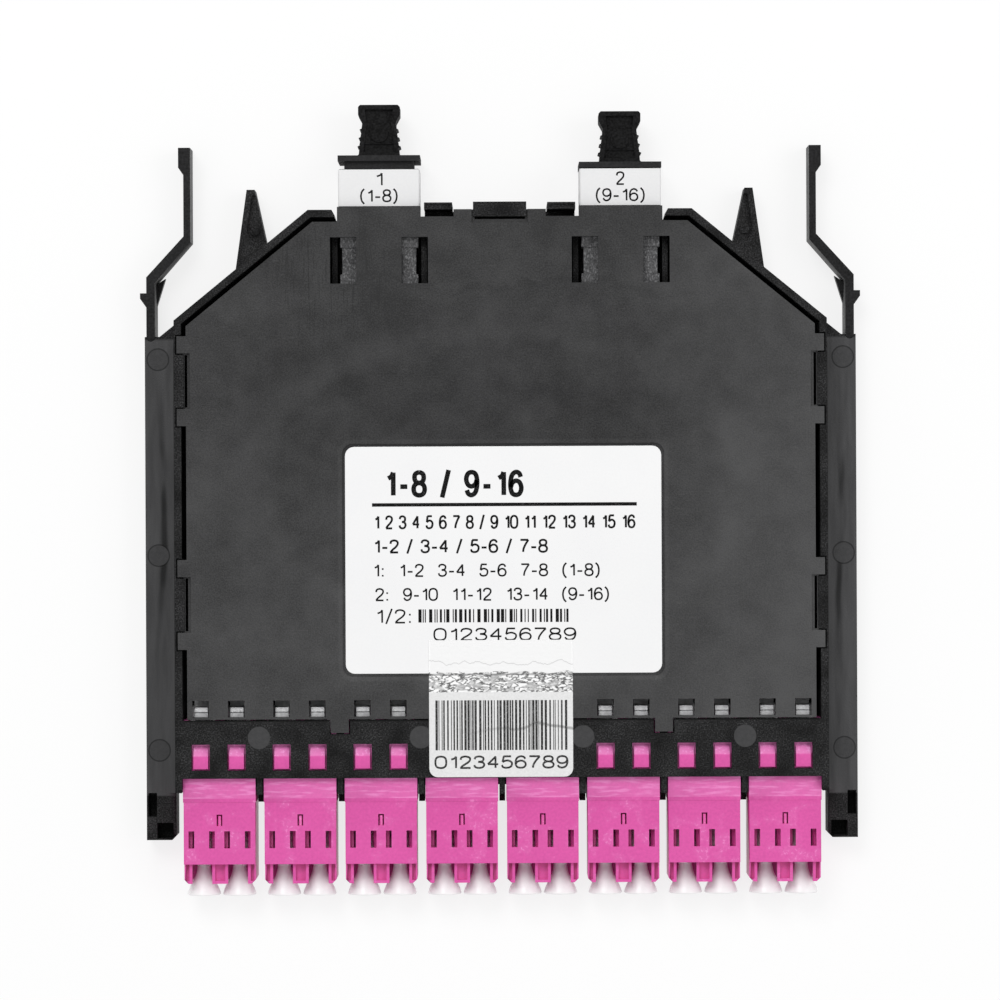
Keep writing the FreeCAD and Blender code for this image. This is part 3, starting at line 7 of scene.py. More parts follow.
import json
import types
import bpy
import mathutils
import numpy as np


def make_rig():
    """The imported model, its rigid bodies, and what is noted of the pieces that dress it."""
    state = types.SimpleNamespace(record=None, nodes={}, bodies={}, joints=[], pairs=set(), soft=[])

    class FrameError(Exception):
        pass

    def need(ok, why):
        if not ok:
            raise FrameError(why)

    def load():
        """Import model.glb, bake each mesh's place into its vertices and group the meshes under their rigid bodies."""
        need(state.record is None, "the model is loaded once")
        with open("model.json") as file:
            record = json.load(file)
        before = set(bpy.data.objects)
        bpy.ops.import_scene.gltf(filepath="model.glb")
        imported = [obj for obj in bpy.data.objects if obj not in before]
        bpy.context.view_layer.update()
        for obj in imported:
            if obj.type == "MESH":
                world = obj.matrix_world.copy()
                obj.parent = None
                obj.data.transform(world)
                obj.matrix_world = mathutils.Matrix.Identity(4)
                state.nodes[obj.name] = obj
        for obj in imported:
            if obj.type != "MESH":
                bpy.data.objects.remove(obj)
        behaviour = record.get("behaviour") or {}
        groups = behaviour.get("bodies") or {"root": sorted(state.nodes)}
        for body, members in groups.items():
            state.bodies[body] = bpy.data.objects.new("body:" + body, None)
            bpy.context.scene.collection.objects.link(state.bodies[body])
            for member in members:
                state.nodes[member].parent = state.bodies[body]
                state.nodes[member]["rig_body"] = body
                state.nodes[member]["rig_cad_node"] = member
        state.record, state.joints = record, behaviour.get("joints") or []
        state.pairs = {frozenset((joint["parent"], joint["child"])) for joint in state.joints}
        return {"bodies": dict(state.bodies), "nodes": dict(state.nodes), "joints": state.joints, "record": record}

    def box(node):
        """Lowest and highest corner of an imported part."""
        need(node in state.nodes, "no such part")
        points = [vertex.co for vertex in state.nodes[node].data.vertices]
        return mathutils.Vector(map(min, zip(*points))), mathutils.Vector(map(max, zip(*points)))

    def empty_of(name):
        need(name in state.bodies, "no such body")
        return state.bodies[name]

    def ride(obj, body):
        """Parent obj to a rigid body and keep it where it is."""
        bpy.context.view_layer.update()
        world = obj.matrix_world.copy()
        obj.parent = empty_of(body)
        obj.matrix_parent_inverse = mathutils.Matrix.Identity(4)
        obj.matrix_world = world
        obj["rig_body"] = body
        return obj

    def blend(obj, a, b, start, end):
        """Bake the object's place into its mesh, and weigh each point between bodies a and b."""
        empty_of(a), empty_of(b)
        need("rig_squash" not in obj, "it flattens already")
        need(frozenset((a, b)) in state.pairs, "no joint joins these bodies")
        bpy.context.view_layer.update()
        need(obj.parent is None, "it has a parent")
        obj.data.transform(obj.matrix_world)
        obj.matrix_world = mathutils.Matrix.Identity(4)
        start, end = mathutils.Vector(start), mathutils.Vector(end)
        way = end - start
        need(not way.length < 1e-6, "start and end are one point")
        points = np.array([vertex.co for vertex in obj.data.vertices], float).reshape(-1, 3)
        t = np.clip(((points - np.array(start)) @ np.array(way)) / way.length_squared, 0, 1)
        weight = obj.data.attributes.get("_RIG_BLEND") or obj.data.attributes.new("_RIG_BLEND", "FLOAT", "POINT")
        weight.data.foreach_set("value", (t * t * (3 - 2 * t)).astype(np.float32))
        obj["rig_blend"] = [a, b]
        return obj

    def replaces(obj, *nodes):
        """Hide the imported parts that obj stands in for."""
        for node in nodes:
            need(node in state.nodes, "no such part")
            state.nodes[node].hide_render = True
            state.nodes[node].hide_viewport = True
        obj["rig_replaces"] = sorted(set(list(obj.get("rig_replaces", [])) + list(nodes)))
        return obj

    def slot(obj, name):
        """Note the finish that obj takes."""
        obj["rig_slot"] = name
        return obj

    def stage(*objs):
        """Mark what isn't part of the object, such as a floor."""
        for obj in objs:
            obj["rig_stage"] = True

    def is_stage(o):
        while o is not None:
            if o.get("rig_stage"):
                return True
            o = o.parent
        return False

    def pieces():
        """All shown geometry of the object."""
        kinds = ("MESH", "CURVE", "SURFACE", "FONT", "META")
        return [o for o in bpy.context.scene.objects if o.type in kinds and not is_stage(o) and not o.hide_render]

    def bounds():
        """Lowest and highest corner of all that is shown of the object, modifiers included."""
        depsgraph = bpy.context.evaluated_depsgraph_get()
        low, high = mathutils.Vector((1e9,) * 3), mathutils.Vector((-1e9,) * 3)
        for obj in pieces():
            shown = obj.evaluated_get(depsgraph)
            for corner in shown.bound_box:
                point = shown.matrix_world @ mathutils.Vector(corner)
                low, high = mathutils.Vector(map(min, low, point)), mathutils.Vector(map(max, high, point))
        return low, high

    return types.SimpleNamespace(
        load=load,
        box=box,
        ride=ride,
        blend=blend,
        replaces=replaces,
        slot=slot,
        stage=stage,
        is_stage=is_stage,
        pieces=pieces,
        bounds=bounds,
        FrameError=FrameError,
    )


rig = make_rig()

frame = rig.load()
CAD_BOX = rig.bounds()

import json
import logging
import math
from abc import ABC, abstractmethod
from dataclasses import dataclass
from enum import Enum
from typing import Any, Callable, Mapping, Optional, Sequence, Union

import bmesh
import bpy
import numpy as np
from bpy.types import ID, Material, Mesh, Node, NodeSocket, Object

LOG = logging.getLogger("cassette")
MM = 0.001
MERGE = 2e-6  # metres; points of a solid closer than this become one
SHARP = 30.0  # degrees; edges from this angle on are rounded
Pair = tuple[float, float]
Triple = tuple[float, float, float]
Colour = Triple


# --- shader expressions

def joined(operation: str, swapped: bool = False) -> Callable[..., "Field"]:
    """A method that takes a field and other values through one Math node.

    Args:
        operation: the Math node's operation.
        swapped: puts the other value first.

    Returns:
        The method.
    """
    def method(self: "Field", *others: "Value") -> "Field":
        """The node's result."""
        values = (self, *others)[::-1] if swapped else (self, *others)
        made = self.book.node("ShaderNodeMath", {"operation": operation}, dict(enumerate(values)))
        return Field(self.book, made.outputs[0])

    return method


class Field:
    """A number or colour that varies over a surface, held by one shader socket."""

    __add__, __radd__ = joined("ADD"), joined("ADD", swapped=True)
    __sub__, __rsub__ = joined("SUBTRACT"), joined("SUBTRACT", swapped=True)
    __mul__, __rmul__ = joined("MULTIPLY"), joined("MULTIPLY", swapped=True)
    __truediv__ = joined("DIVIDE")
    __abs__ = joined("ABSOLUTE")
    power = joined("POWER")
    most = joined("MAXIMUM")
    least = joined("MINIMUM")

    def __init__(self, book: "FinishBook", socket: NodeSocket) -> None:
        """Keeps the socket and the book of nodes that it belongs to."""
        self.book = book
        self.socket = socket

    def clipped(self) -> "Field":
        """This, held between 0 and 1."""
        return self.most(0.0).least(1.0)

    def rise(self, low: float, high: float) -> "Field":
        """An S-shaped step.

        Args:
            low: where the step leaves 0.
            high: where it reaches 1.

        Returns:
            0 below low, 1 above high and a smooth rise between them.
        """
        made = self.book.node(
            "ShaderNodeMapRange",
            {"interpolation_type": "SMOOTHSTEP"},
            {"Value": self, "From Min": low, "From Max": high},
        )
        return Field(self.book, made.outputs[0])

    def fall(self, low: float, high: float) -> "Field":
        """The step of rise, upside down."""
        return 1.0 - self.rise(low, high)


Value = Union[Field, float]


class FinishBook:
    """The nodes of one material, all added through one method."""

    def __init__(self, name: str) -> None:
        """Opens an empty material of that name."""
        self.material = bpy.data.materials.new(name)
        self.material.use_nodes = True
        self.tree = self.material.node_tree
        self.tree.nodes.clear()
        self._place: Optional[NodeSocket] = None

    def node(
        self,
        kind: str,
        settings: Optional[Mapping[str, Any]] = None,
        inputs: Optional[Mapping[Any, Any]] = None,
    ) -> Node:
        """Adds a node.

        Args:
            kind: the node's type.
            settings: its properties, which are set first.
            inputs: values, fields or sockets for its inputs, by name or number.

        Returns:
            The new node.
        """
        made = self.tree.nodes.new(kind)
        for name, setting in (settings or {}).items():
            setattr(made, name, setting)
        for key, value in (inputs or {}).items():
            socket = made.inputs[key]
            if isinstance(value, Field):
                self.tree.links.new(value.socket, socket)
            elif isinstance(value, NodeSocket):
                self.tree.links.new(value, socket)
            elif socket.type == "RGBA":
                socket.default_value = (*value, 1.0)
            else:
                socket.default_value = value
        return made

    def place(self) -> NodeSocket:
        """The point on the object, in millimetres of the shared frame."""
        if self._place is None:
            here = self.node("ShaderNodeTexCoord").outputs["Object"]
            scaled = self.node(
                "ShaderNodeVectorMath", {"operation": "SCALE"}, {0: here, "Scale": 1.0 / MM}
            )
            self._place = scaled.outputs[0]
        return self._place

    def axes(self) -> tuple[Field, Field, Field]:
        """The point's three coordinates, in millimetres."""
        parts = self.node("ShaderNodeSeparateXYZ", None, {0: self.place()})
        x, y, z = (Field(self, part) for part in parts.outputs)
        return x, y, z

    def noise(
        self,
        grain: float,
        stretch: Triple = (1.0, 1.0, 1.0),
        detail: float = 2.0,
        spread: float = 0.2,
        shift: float = 0.0,
    ) -> Field:
        """Soft random mottling.

        Args:
            grain: the width of one blotch in millimetres.
            stretch: how often the pattern repeats along each axis, against the others.
            detail: the number of finer octaves.
            spread: half the range of the raw noise that is widened to 0..1.
            shift: an offset that gives another pattern.

        Returns:
            A field from 0 to 1, around 0.5.
        """
        moved = self.node(
            "ShaderNodeMapping", None,
            {"Vector": self.place(), "Scale": stretch, "Location": (shift, -shift, shift)},
        )
        made = self.node(
            "ShaderNodeTexNoise", None,
            {"Vector": moved.outputs[0], "Scale": 1.0 / grain, "Detail": detail},
        )
        raw = Field(self, made.outputs[0])
        return ((raw - 0.5) * (0.5 / spread) + 0.5).clipped()

    def blend(self, factor: Value, first: Any, second: Any) -> Field:
        """A colour between two.

        Args:
            factor: 0 for the first colour, 1 for the second.
            first: a colour or a field that holds one.
            second: the other colour.

        Returns:
            The mixed colour.
        """
        made = self.node(
            "ShaderNodeMix", {"data_type": "RGBA"}, {0: factor, 6: first, 7: second}
        )
        return Field(self, made.outputs[2])

    def relief(self, height: Field, depth: float) -> NodeSocket:
        """A normal bent by a height pattern, whose full swing is depth millimetres."""
        made = self.node("ShaderNodeBump", None, {"Height": height, "Distance": depth * MM})
        return made.outputs[0]

    def panel(self, middle: Pair, half: Pair, soft: float) -> Field:
        """A soft-edged rectangle seen from above.

        Args:
            middle: its centre in X and Y.
            half: its half width and half length.
            soft: the width of the soft edge.

        Returns:
            1 inside, 0 outside.
        """
        x, y, _ = self.axes()
        across = abs(x - middle[0]).fall(half[0] - soft, half[0] + soft)
        along = abs(y - middle[1]).fall(half[1] - soft, half[1] + soft)
        return across * along

    def distance(self, x: Field, y: Field) -> Field:
        """The length of the flat vector whose parts are x and y."""
        return (x * x + y * y).power(0.5)

    def outside(
        self, middle: Pair, half: Pair, corner: float
    ) -> Field:
        """How far a point lies outside a rectangle with round corners, seen from above.

        Each coordinate past the corner's centre counts, or 0; the distance is their length less
        the corner's radius.

        Args:
            middle: the rectangle's centre in X and Y.
            half: its half width and half length.
            corner: its corner radius.

        Returns:
            The distance in millimetres, which is minus the radius well inside.
        """
        x, y, _ = self.axes()
        past_x = (abs(x - middle[0]) - (half[0] - corner)).most(0.0)
        past_y = (abs(y - middle[1]) - (half[1] - corner)).most(0.0)
        return self.distance(past_x, past_y) - corner

    def close(self, shader: NodeSocket) -> Material:
        """Sends a shader to the output and hands the material back."""
        self.node("ShaderNodeOutputMaterial", None, {"Surface": shader})
        return self.material

    def surface(self, **sockets: Any) -> Material:
        """Closes the material with a Principled shader.

        Args:
            sockets: values for its inputs, with _ for a space in a name.

        Returns:
            The finished material.
        """
        named = {name.replace("_", " "): value for name, value in sockets.items()}
        return self.close(self.node("ShaderNodeBsdfPrincipled", None, named).outputs[0])


# --- finishes

FINISHED: dict[str, Material] = {}


@dataclass(frozen=True)
class Finish(ABC):
    """A surface finish, whose material is made once."""

    name: str

    @abstractmethod
    def paint(self, book: FinishBook) -> Material:
        """Fills the book with the finish's nodes and closes it."""

    def material(self) -> Material:
        """The finish's material."""
        if self.name not in FINISHED:
            FINISHED[self.name] = self.paint(FinishBook(self.name))
        return FINISHED[self.name]


@dataclass(frozen=True)
class Plastic(Finish):
    """Moulded plastic: a fine grain over broad mottling, from a dark to a light shade."""

    dark: Colour
    light: Colour
    grain: float = 0.3
    contrast: float = 0.6
    roughness: float = 0.45
    gloss: float = 0.3
    depth: float = 0.012
    through: float = 0.0

    def tone(self, book: FinishBook) -> Field:
        """How light the plastic stands, from 0 to 1."""
        fine = book.noise(self.grain)
        broad = book.noise(self.grain * 14.0, detail=3.0, shift=7.0)
        return (fine * 0.7 + broad * 0.3 - 0.5) * self.contrast + 0.5

    def paint(self, book: FinishBook) -> Material:
        """Base colour and roughness follow the tone, and the grain stands proud a little."""
        tone = self.tone(book).clipped()
        return book.surface(
            Base_Color=book.blend(tone, self.dark, self.light),
            Roughness=self.roughness + (0.5 - tone) * 0.16,
            Specular_IOR_Level=self.gloss,
            Subsurface_Weight=self.through,
            Subsurface_Scale=1.5 * MM,
            Subsurface_Radius=(1.0, 1.0, 1.0),
            Normal=book.relief(book.noise(self.grain), self.depth),
        )


@dataclass(frozen=True)
class TrayBlack(Plastic):
    """The tray's black plastic: grained bar, smoother rails with painted reflection streaks, ejector marks, painted
    shade in its gaps and low places.
    """

    rail_inner: float = 57.2
    foot_y: float = -53.0
    seam_y: float = -39.5
    streak_x: float = 59.9
    rail_end: Pair = (27.0, 27.6)
    top_face: Pair = (11.0, 11.4)
    front_foot: Pair = (-53.6, -53.2)
    pin_bar: Triple = (14.14, 42.42, -42.5)
    pin_rail_x: float = 60.3
    pin_rail_y: Triple = (23.8, -10.7, -45.0)

    def off_pin(self, book: FinishBook, x: float, y: float) -> Field:
        """The distance from an ejector mark's middle, on either side of the tray."""
        here_x, here_y, _ = book.axes()
        return book.distance(abs(here_x) - x, here_y - y)

    def tone(self, book: FinishBook) -> Field:
        """Pale specks on the bar, satin rails with painted reflection streaks, smooth ejector marks, dark lines of
        painted shade and the marks' rings, painted shade low in front.
        """
        x, y, z = book.axes()
        specks = book.noise(self.grain, detail=3.0).power(2.0)
        broad = book.noise(4.5, detail=3.0, shift=7.0)
        grained = specks * self.contrast * (0.35 + broad) + broad * 0.06
        rail = abs(x).rise(self.rail_inner - 0.2, self.rail_inner + 0.2) * y.fall(*self.rail_end)
        rail = rail * y.rise(self.foot_y - 0.2, self.foot_y + 0.2)
        # painted shade: a dark line in the gap along each rail's inner side
        rail_gap_shade = abs(abs(x) - self.rail_inner - 0.15).fall(0.08, 0.3) * y.fall(26.0, 27.0)
        top = z.rise(*self.top_face)
        # painted shade: a dark line on the top faces where the cover meets the bar
        seam = abs(y - self.seam_y).fall(0.14, 0.3) * abs(x).fall(55.0, 56.0) * top
        satin = 0.86 + (book.noise(1.2, (1.0, 0.10, 1.0), detail=4.0, shift=3.0) - 0.5) * 0.34
        # painted reflection: dark wandering streaks along the outer rails stand for dark surroundings mirrored in them
        wander = (book.noise(24.0) - 0.5) * 1.6
        broken = book.noise(6.0, (1.0, 0.3, 1.0)).rise(0.2, 0.7)
        reflection_streak = abs(abs(x) - self.streak_x + wander).fall(0.15, 0.9)
        reflection_streak = reflection_streak * abs(y + 6.0).fall(8.0, 30.0) * broken
        satin = satin * (1.0 - reflection_streak * 0.75)
        tone = grained + (satin - grained) * rail
        discs, rings = 0.0 * x, 0.0 * x
        for place in self.pin_bar[:2]:
            off = self.off_pin(book, place, self.pin_bar[2])
            discs = discs.most(off.fall(1.85, 2.05) * top)
        for place in self.pin_rail_y:
            off = self.off_pin(book, self.pin_rail_x, place)
            discs = discs.most(off.fall(1.75, 1.9))
            rings = rings.most(abs(off - 1.9).fall(0.04, 0.2))
        smooth = 0.72 + (book.noise(0.6, shift=5.0) - 0.5) * 0.14
        tone = tone + (smooth - tone) * discs
        # painted shade: low faces in front of the front feet are darkened
        low_shade = z.fall(0.6, 3.2) * y.fall(*self.front_foot)
        # dark lines: painted shade along the rails and the seam, and the pin marks' rings
        lines = rail_gap_shade.most(seam).most(rings * 0.7)
        return tone * (1.0 - low_shade * 0.8) * (1.0 - lines * 0.85)


@dataclass(frozen=True)
class CoverGrey(Plastic):
    """The cover's satin grey: a pale oval flow mark, cloudy weld lines, hairline scratches, with painted light and
    shade at the label's recess and towards the front and right.
    """

    oval_middle: Pair = (0.0, 2.0)
    oval_half: Pair = (43.0, 26.0)
    recess_middle: Pair = (0.4, -11.6)
    recess_half: Pair = (28.05, 20.25)
    recess_corner: float = 1.7
    weld_y: float = 36.6
    offset: float = -0.27
    hair_middle: Pair = (-30.0, 38.0)
    hair_half: Pair = (9.0, 8.0)

    def tone(self, book: FinishBook) -> Field:
        """The mottled base with its flow mark, weld line, scratches and lint, painted highlight and shade at the
        recess rim, and painted light towards the front and the right.
        """
        x, y, _ = book.axes()
        base = super().tone(book)
        cloud = book.noise(9.0, detail=4.0, shift=2.0)
        off = book.distance(
            (x - self.oval_middle[0]) / self.oval_half[0],
            (y - self.oval_middle[1]) / self.oval_half[1],
        ) + (cloud - 0.5) * 0.05
        mark = off.rise(0.9, 1.0) * off.fall(1.0, 1.14)
        inside = off.fall(0.8, 1.0)
        hair = book.noise(0.22, (1.0, 0.05, 1.0), detail=0.0, shift=11.0).rise(0.86, 1.0)
        hair = hair * book.panel(self.hair_middle, self.hair_half, 5.0)
        lint = book.noise(0.5, (0.2, 1.0, 1.0), detail=1.0, shift=23.0).rise(0.95, 1.0)
        recess = book.outside(self.recess_middle, self.recess_half, self.recess_corner)
        # painted highlight: a pale band just outside the label's recess; painted shade: darker inside it
        rim = recess.fall(0.6, 1.0) * 0.16 - recess.fall(-0.02, 0.14) * 0.45
        weld = abs(y - self.weld_y + (cloud - 0.5) * 5.0).fall(0.1, 1.1) * abs(x).fall(24.0, 44.0)
        return (
            base + (cloud - 0.5) * 0.30 + mark * 0.14 - inside * 0.05 - weld * 0.10
            - hair * 0.22 + lint * 0.12 + rim
            # painted light: lighter towards the front and towards the right
            + y.fall(-34.0, 46.0) * 0.26 + x.rise(14.0, 56.0) * 0.36 + self.offset
        )


@dataclass(frozen=True)
class Speckled(Plastic):
    """Glass-filled grey plastic: pale short flecks in a dark ground."""

    def tone(self, book: FinishBook) -> Field:
        """Sparse flecks over the grain."""
        flecks = book.noise(0.28, (1.0, 0.5, 1.0), detail=1.0, shift=4.0).rise(0.55, 0.95)
        return super().tone(book) * 0.6 + flecks * 0.5


@dataclass(frozen=True)
class GripBlack(Plastic):
    """A rear cap's satin black, with a painted highlight that makes the top of the grip paler."""

    rubbed_from: float = 9.0

    def tone(self, book: FinishBook) -> Field:
        """Grain, and a painted highlight on the highest faces."""
        _, _, z = book.axes()
        # painted highlight: the faces above this height are paler
        rubbed = z.rise(self.rubbed_from - 0.1, self.rubbed_from + 0.1)
        return super().tone(book) * 0.45 + rubbed * 0.5


@dataclass(frozen=True)
class Magenta(Plastic):
    """An adapter's glossy plastic, with a painted pale sheen and scuffs on its rear collar and painted highlights on
    its ramps.
    """

    rubbed: Colour = (0.95, 0.34, 0.70)
    collar: Pair = (-53.2, -48.2)
    ramp_y: Pair = (-45.9, -45.5)
    ramp_z: Pair = (7.0, 7.6)

    def wear(self, book: FinishBook) -> Field:
        """How much painted sheen and scuffing: along X on the collar, painted highlight specks on the ramps, blotches
        of painted highlight and scuffs in front.
        """
        _, y, z = book.axes()
        # painted sheen: pale streaks stretched along X
        drawn = book.noise(0.55, (0.14, 1.0, 1.0), detail=4.0, shift=12.0).rise(0.42, 0.95)
        blotch = book.noise(3.2, detail=5.0, shift=17.0).rise(0.55, 0.9)
        specks = book.noise(0.5, detail=3.0, shift=19.0).rise(0.55, 0.95)
        front, rear = self.collar
        # painted sheen and painted light along the rear collar, with some scuffs
        collar = y.rise(front - 0.05, front + 0.05) * y.fall(rear - 0.4, rear)
        # painted highlight: the ramps' sloped faces are paler
        ramp = y.rise(*self.ramp_y) * z.rise(*self.ramp_z)
        # painted highlights and scuffs: pale blotches on the top faces in front of the collar
        face = y.fall(front - 0.2, front) * z.rise(8.8, 9.1)
        return (
            collar * (0.20 + drawn * 0.42) + ramp * (0.45 + specks * 0.5)
            + face * blotch * (0.10 + specks * 0.4)
        ).clipped()

    def paint(self, book: FinishBook) -> Material:
        """The places of painted sheen and scuffs are paler and duller."""
        tone = self.tone(book).clipped()
        wear = self.wear(book)
        return book.surface(
            Base_Color=book.blend(wear, book.blend(tone, self.dark, self.light), self.rubbed),
            Roughness=self.roughness + wear * 0.2,
            Specular_IOR_Level=self.gloss,
            Normal=book.relief(book.noise(self.grain), self.depth),
        )


@dataclass(frozen=True)
class Milky(Plastic):
    """A dust cap's milky plastic, with painted light: greyer along the neck in the port's shade and bright at the
    rim's face.
    """

    rim_y: float = -69.6

    def tone(self, book: FinishBook) -> Field:
        """Painted light: lighter towards the rim."""
        _, y, _ = book.axes()
        # painted light: up to half the tone is added towards the rim
        return super().tone(book) * 0.5 + y.fall(self.rim_y - 0.3, self.rim_y + 2.6) * 0.5


@dataclass(frozen=True)
class Paper(Finish):
    """Coated label paper with a faint tooth."""

    shade: Colour = (0.90, 0.90, 0.90)
    dull: Colour = (0.85, 0.85, 0.86)

    def paint(self, book: FinishBook) -> Material:
        """A very even white, a little duller in blotches."""
        tooth = book.noise(0.35, detail=3.0)
        patch = book.noise(12.0, shift=5.0)
        return book.surface(
            Base_Color=book.blend(tooth * 0.35 + patch * 0.4, self.shade, self.dull),
            Roughness=0.42 + tooth * 0.1,
            Specular_IOR_Level=0.25,
            Normal=book.relief(tooth, 0.004),
        )


@dataclass(frozen=True)
class Ink(Finish):
    """Thermal print: near black, a little thin where the ribbon skipped."""

    full: Colour = (0.004, 0.004, 0.004)
    thin: Colour = (0.04, 0.04, 0.041)

    def paint(self, book: FinishBook) -> Material:
        """Dark ink that lightens in fine specks."""
        skip = book.noise(0.18, detail=1.0, shift=9.0).rise(0.62, 1.0)
        return book.surface(
            Base_Color=book.blend(skip, self.full, self.thin),
            Roughness=0.5 + skip * 0.2,
            Specular_IOR_Level=0.06,
        )


@dataclass(frozen=True)
class SealFilm(Finish):
    """A seal in three parts: clear film at the rear, a torn silvery band, white printed stock."""

    clear_from: float = -31.2
    white_from: float = -34.7
    tear_at: float = -29.6
    seam_at: float = -40.9
    label_edge: float = -31.6
    white: Colour = (0.82, 0.82, 0.82)
    silver: Colour = (0.52, 0.52, 0.52)
    shadow: Colour = (0.10, 0.10, 0.10)
    clear: Colour = (0.97, 0.97, 0.97)

    def paint(self, book: FinishBook) -> Material:
        """Wandering edges, a crinkled band, painted shade where it crosses the seam, a tear, painted shade along the
        label's edge below.
        """
        x, y, _ = book.axes()
        wander = (book.noise(2.2, (1.0, 0.2, 1.0), detail=4.0) - 0.5) * 0.5
        clear = (y + wander).rise(self.clear_from - 0.08, self.clear_from + 0.08)
        stock = (y + wander * 0.25).fall(self.white_from - 0.06, self.white_from + 0.06)
        crinkle = book.noise(0.6, (0.5, 1.1, 1.0), detail=4.0, spread=0.14, shift=6.0)
        lines = abs(crinkle - 0.5).rise(0.03, 0.34)
        band = book.blend(lines, self.shadow, self.clear)
        patches = book.noise(0.9, (0.5, 1.0, 1.0), shift=2.0).rise(0.5, 0.8)
        band = book.blend(patches * 0.8, band, self.silver)
        # painted shade: a dark line across the paper where the seal crosses the seam
        sway = (book.noise(9.0, (1.0, 0.1, 1.0), shift=31.0) - 0.5) * 3.0
        seam_fold_shade = abs(y - self.seam_at + sway).fall(0.04, 0.42) * x.rise(-12.0, 9.0)
        paper = book.blend(seam_fold_shade * 0.55 + book.noise(0.3) * 0.12, self.white, self.shadow)
        tint = book.blend(stock, band, paper)
        jag = (book.noise(4.0, (1.0, 0.1, 1.0), detail=5.0, shift=13.0) - 0.5) * 2.0
        tear = abs(y - self.tear_at + jag).fall(0.02, 0.12)
        # painted shade: a dark line where the seal steps over the label's edge
        label_edge_shade = abs(y - self.label_edge).fall(0.08, 0.26)
        tint = book.blend(label_edge_shade * 0.55, tint, self.shadow)
        tint = book.blend(clear, tint, book.blend(tear * 0.6, self.clear, self.silver))
        edge = abs(x + 0.15).rise(12.2, 12.45)
        return book.surface(
            Base_Color=tint,
            Roughness=0.3 + stock * 0.15,
            Specular_IOR_Level=0.3,
            Alpha=(1.0 - clear * 0.08 + edge * clear * 0.08).clipped(),
            Normal=book.relief(crinkle, 0.02),
        )


@dataclass(frozen=True)
class Fibre(Plastic):
    """A thin jacket with a slow lightening along its length."""

    def tone(self, book: FinishBook) -> Field:
        """Short bands along the fibre over the grain."""
        return super().tone(book) * 0.7 + book.noise(3.0, (0.2, 1.0, 0.2), shift=8.0) * 0.3


class Shade(Enum):
    """The finishes of the cassette."""

    TRAY = TrayBlack(
        "tray_black", (0.001, 0.001, 0.001), (0.074, 0.074, 0.076), grain=0.25, contrast=0.62,
        roughness=0.5, gloss=0.1, depth=0.03,
    )
    ARM = Plastic(
        "arm_black", (0.003, 0.003, 0.003), (0.020, 0.020, 0.021), grain=0.4, contrast=1.2,
        roughness=0.42, gloss=0.11,
    )
    COVER = CoverGrey(
        "cover_grey", (0.017, 0.017, 0.0175), (0.070, 0.070, 0.071), grain=0.26,
        roughness=0.46, gloss=0.2,
    )
    MAGENTA = Magenta(
        "adapter_magenta", (0.62, 0.072, 0.325), (0.80, 0.105, 0.42), grain=0.5,
        roughness=0.34, gloss=0.4, depth=0.01,
    )
    MILKY = Milky(
        "cap_milky", (0.90, 0.895, 0.90), (0.955, 0.955, 0.96), grain=0.8, contrast=0.5,
        roughness=0.3, gloss=0.4, depth=0.006, through=0.5,
    )
    REAR_CAP = GripBlack(
        "rear_cap_black", (0.001, 0.001, 0.001), (0.030, 0.030, 0.031), grain=0.35, contrast=1.2,
        roughness=0.6, gloss=0.08, depth=0.015,
    )
    COUPLER = Speckled(
        "coupler_grey", (0.012, 0.012, 0.013), (0.19, 0.19, 0.195), grain=0.25, contrast=0.9,
        roughness=0.45, gloss=0.2, depth=0.02,
    )
    PLUG = Plastic(
        "plug_grey", (0.42, 0.42, 0.43), (0.76, 0.76, 0.77), grain=0.6, contrast=0.8,
        roughness=0.32, gloss=0.45, depth=0.008,
    )
    CERAMIC = Plastic(
        "sleeve_ceramic", (0.78, 0.78, 0.76), (0.88, 0.88, 0.86), grain=0.2, contrast=0.4,
        roughness=0.2, gloss=0.6, depth=0.002,
    )
    FIBRE = Fibre(
        "fibre_aqua", (0.03, 0.44, 0.45), (0.07, 0.62, 0.62), grain=0.5,
        roughness=0.4, gloss=0.4, depth=0.006,
    )
    PAPER = Paper("label_paper")
    BAND = Paper("band_paper", (0.81, 0.81, 0.81), (0.75, 0.75, 0.76))
    INK = Ink("label_ink")
    FADED = Ink("seal_ink", (0.03, 0.03, 0.03), (0.20, 0.20, 0.20))
    SEAL = SealFilm("seal_film")

    def material(self) -> Material:
        """The finish's material."""
        return self.value.material()


# --- surfaces

def linked(name: str, data: ID) -> Object:
    """A new object in the scene that holds the data."""
    made = bpy.data.objects.new(name, data)
    bpy.context.scene.collection.objects.link(made)
    return made


def quads(index: np.ndarray) -> np.ndarray:
    """The faces between neighbouring rows and columns of a grid of point numbers."""
    corners = (index[:-1, :-1], index[1:, :-1], index[1:, 1:], index[:-1, 1:])
    return np.stack(corners, axis=-1).reshape(-1, 4)


def skin(name: str, points: np.ndarray, faces: list[list[int]]) -> Mesh:
    """A mesh from points in millimetres, in any array of (..., 3), and faces of their numbers."""
    mesh = bpy.data.meshes.new(name)
    mesh.from_pydata((points.reshape(-1, 3) * MM).tolist(), [], faces)
    mesh.update()
    return mesh


def extent(low: Sequence[float], high: Sequence[float]) -> tuple[np.ndarray, ...]:
    """A box in millimetres.

    Args:
        low: its lower corner in metres.
        high: its upper corner in metres.

    Returns:
        Its lower corner, its upper corner, its middle and its half size.
    """
    low, high = np.array(low) / MM, np.array(high) / MM
    return low, high, (low + high) / 2, (high - low) / 2


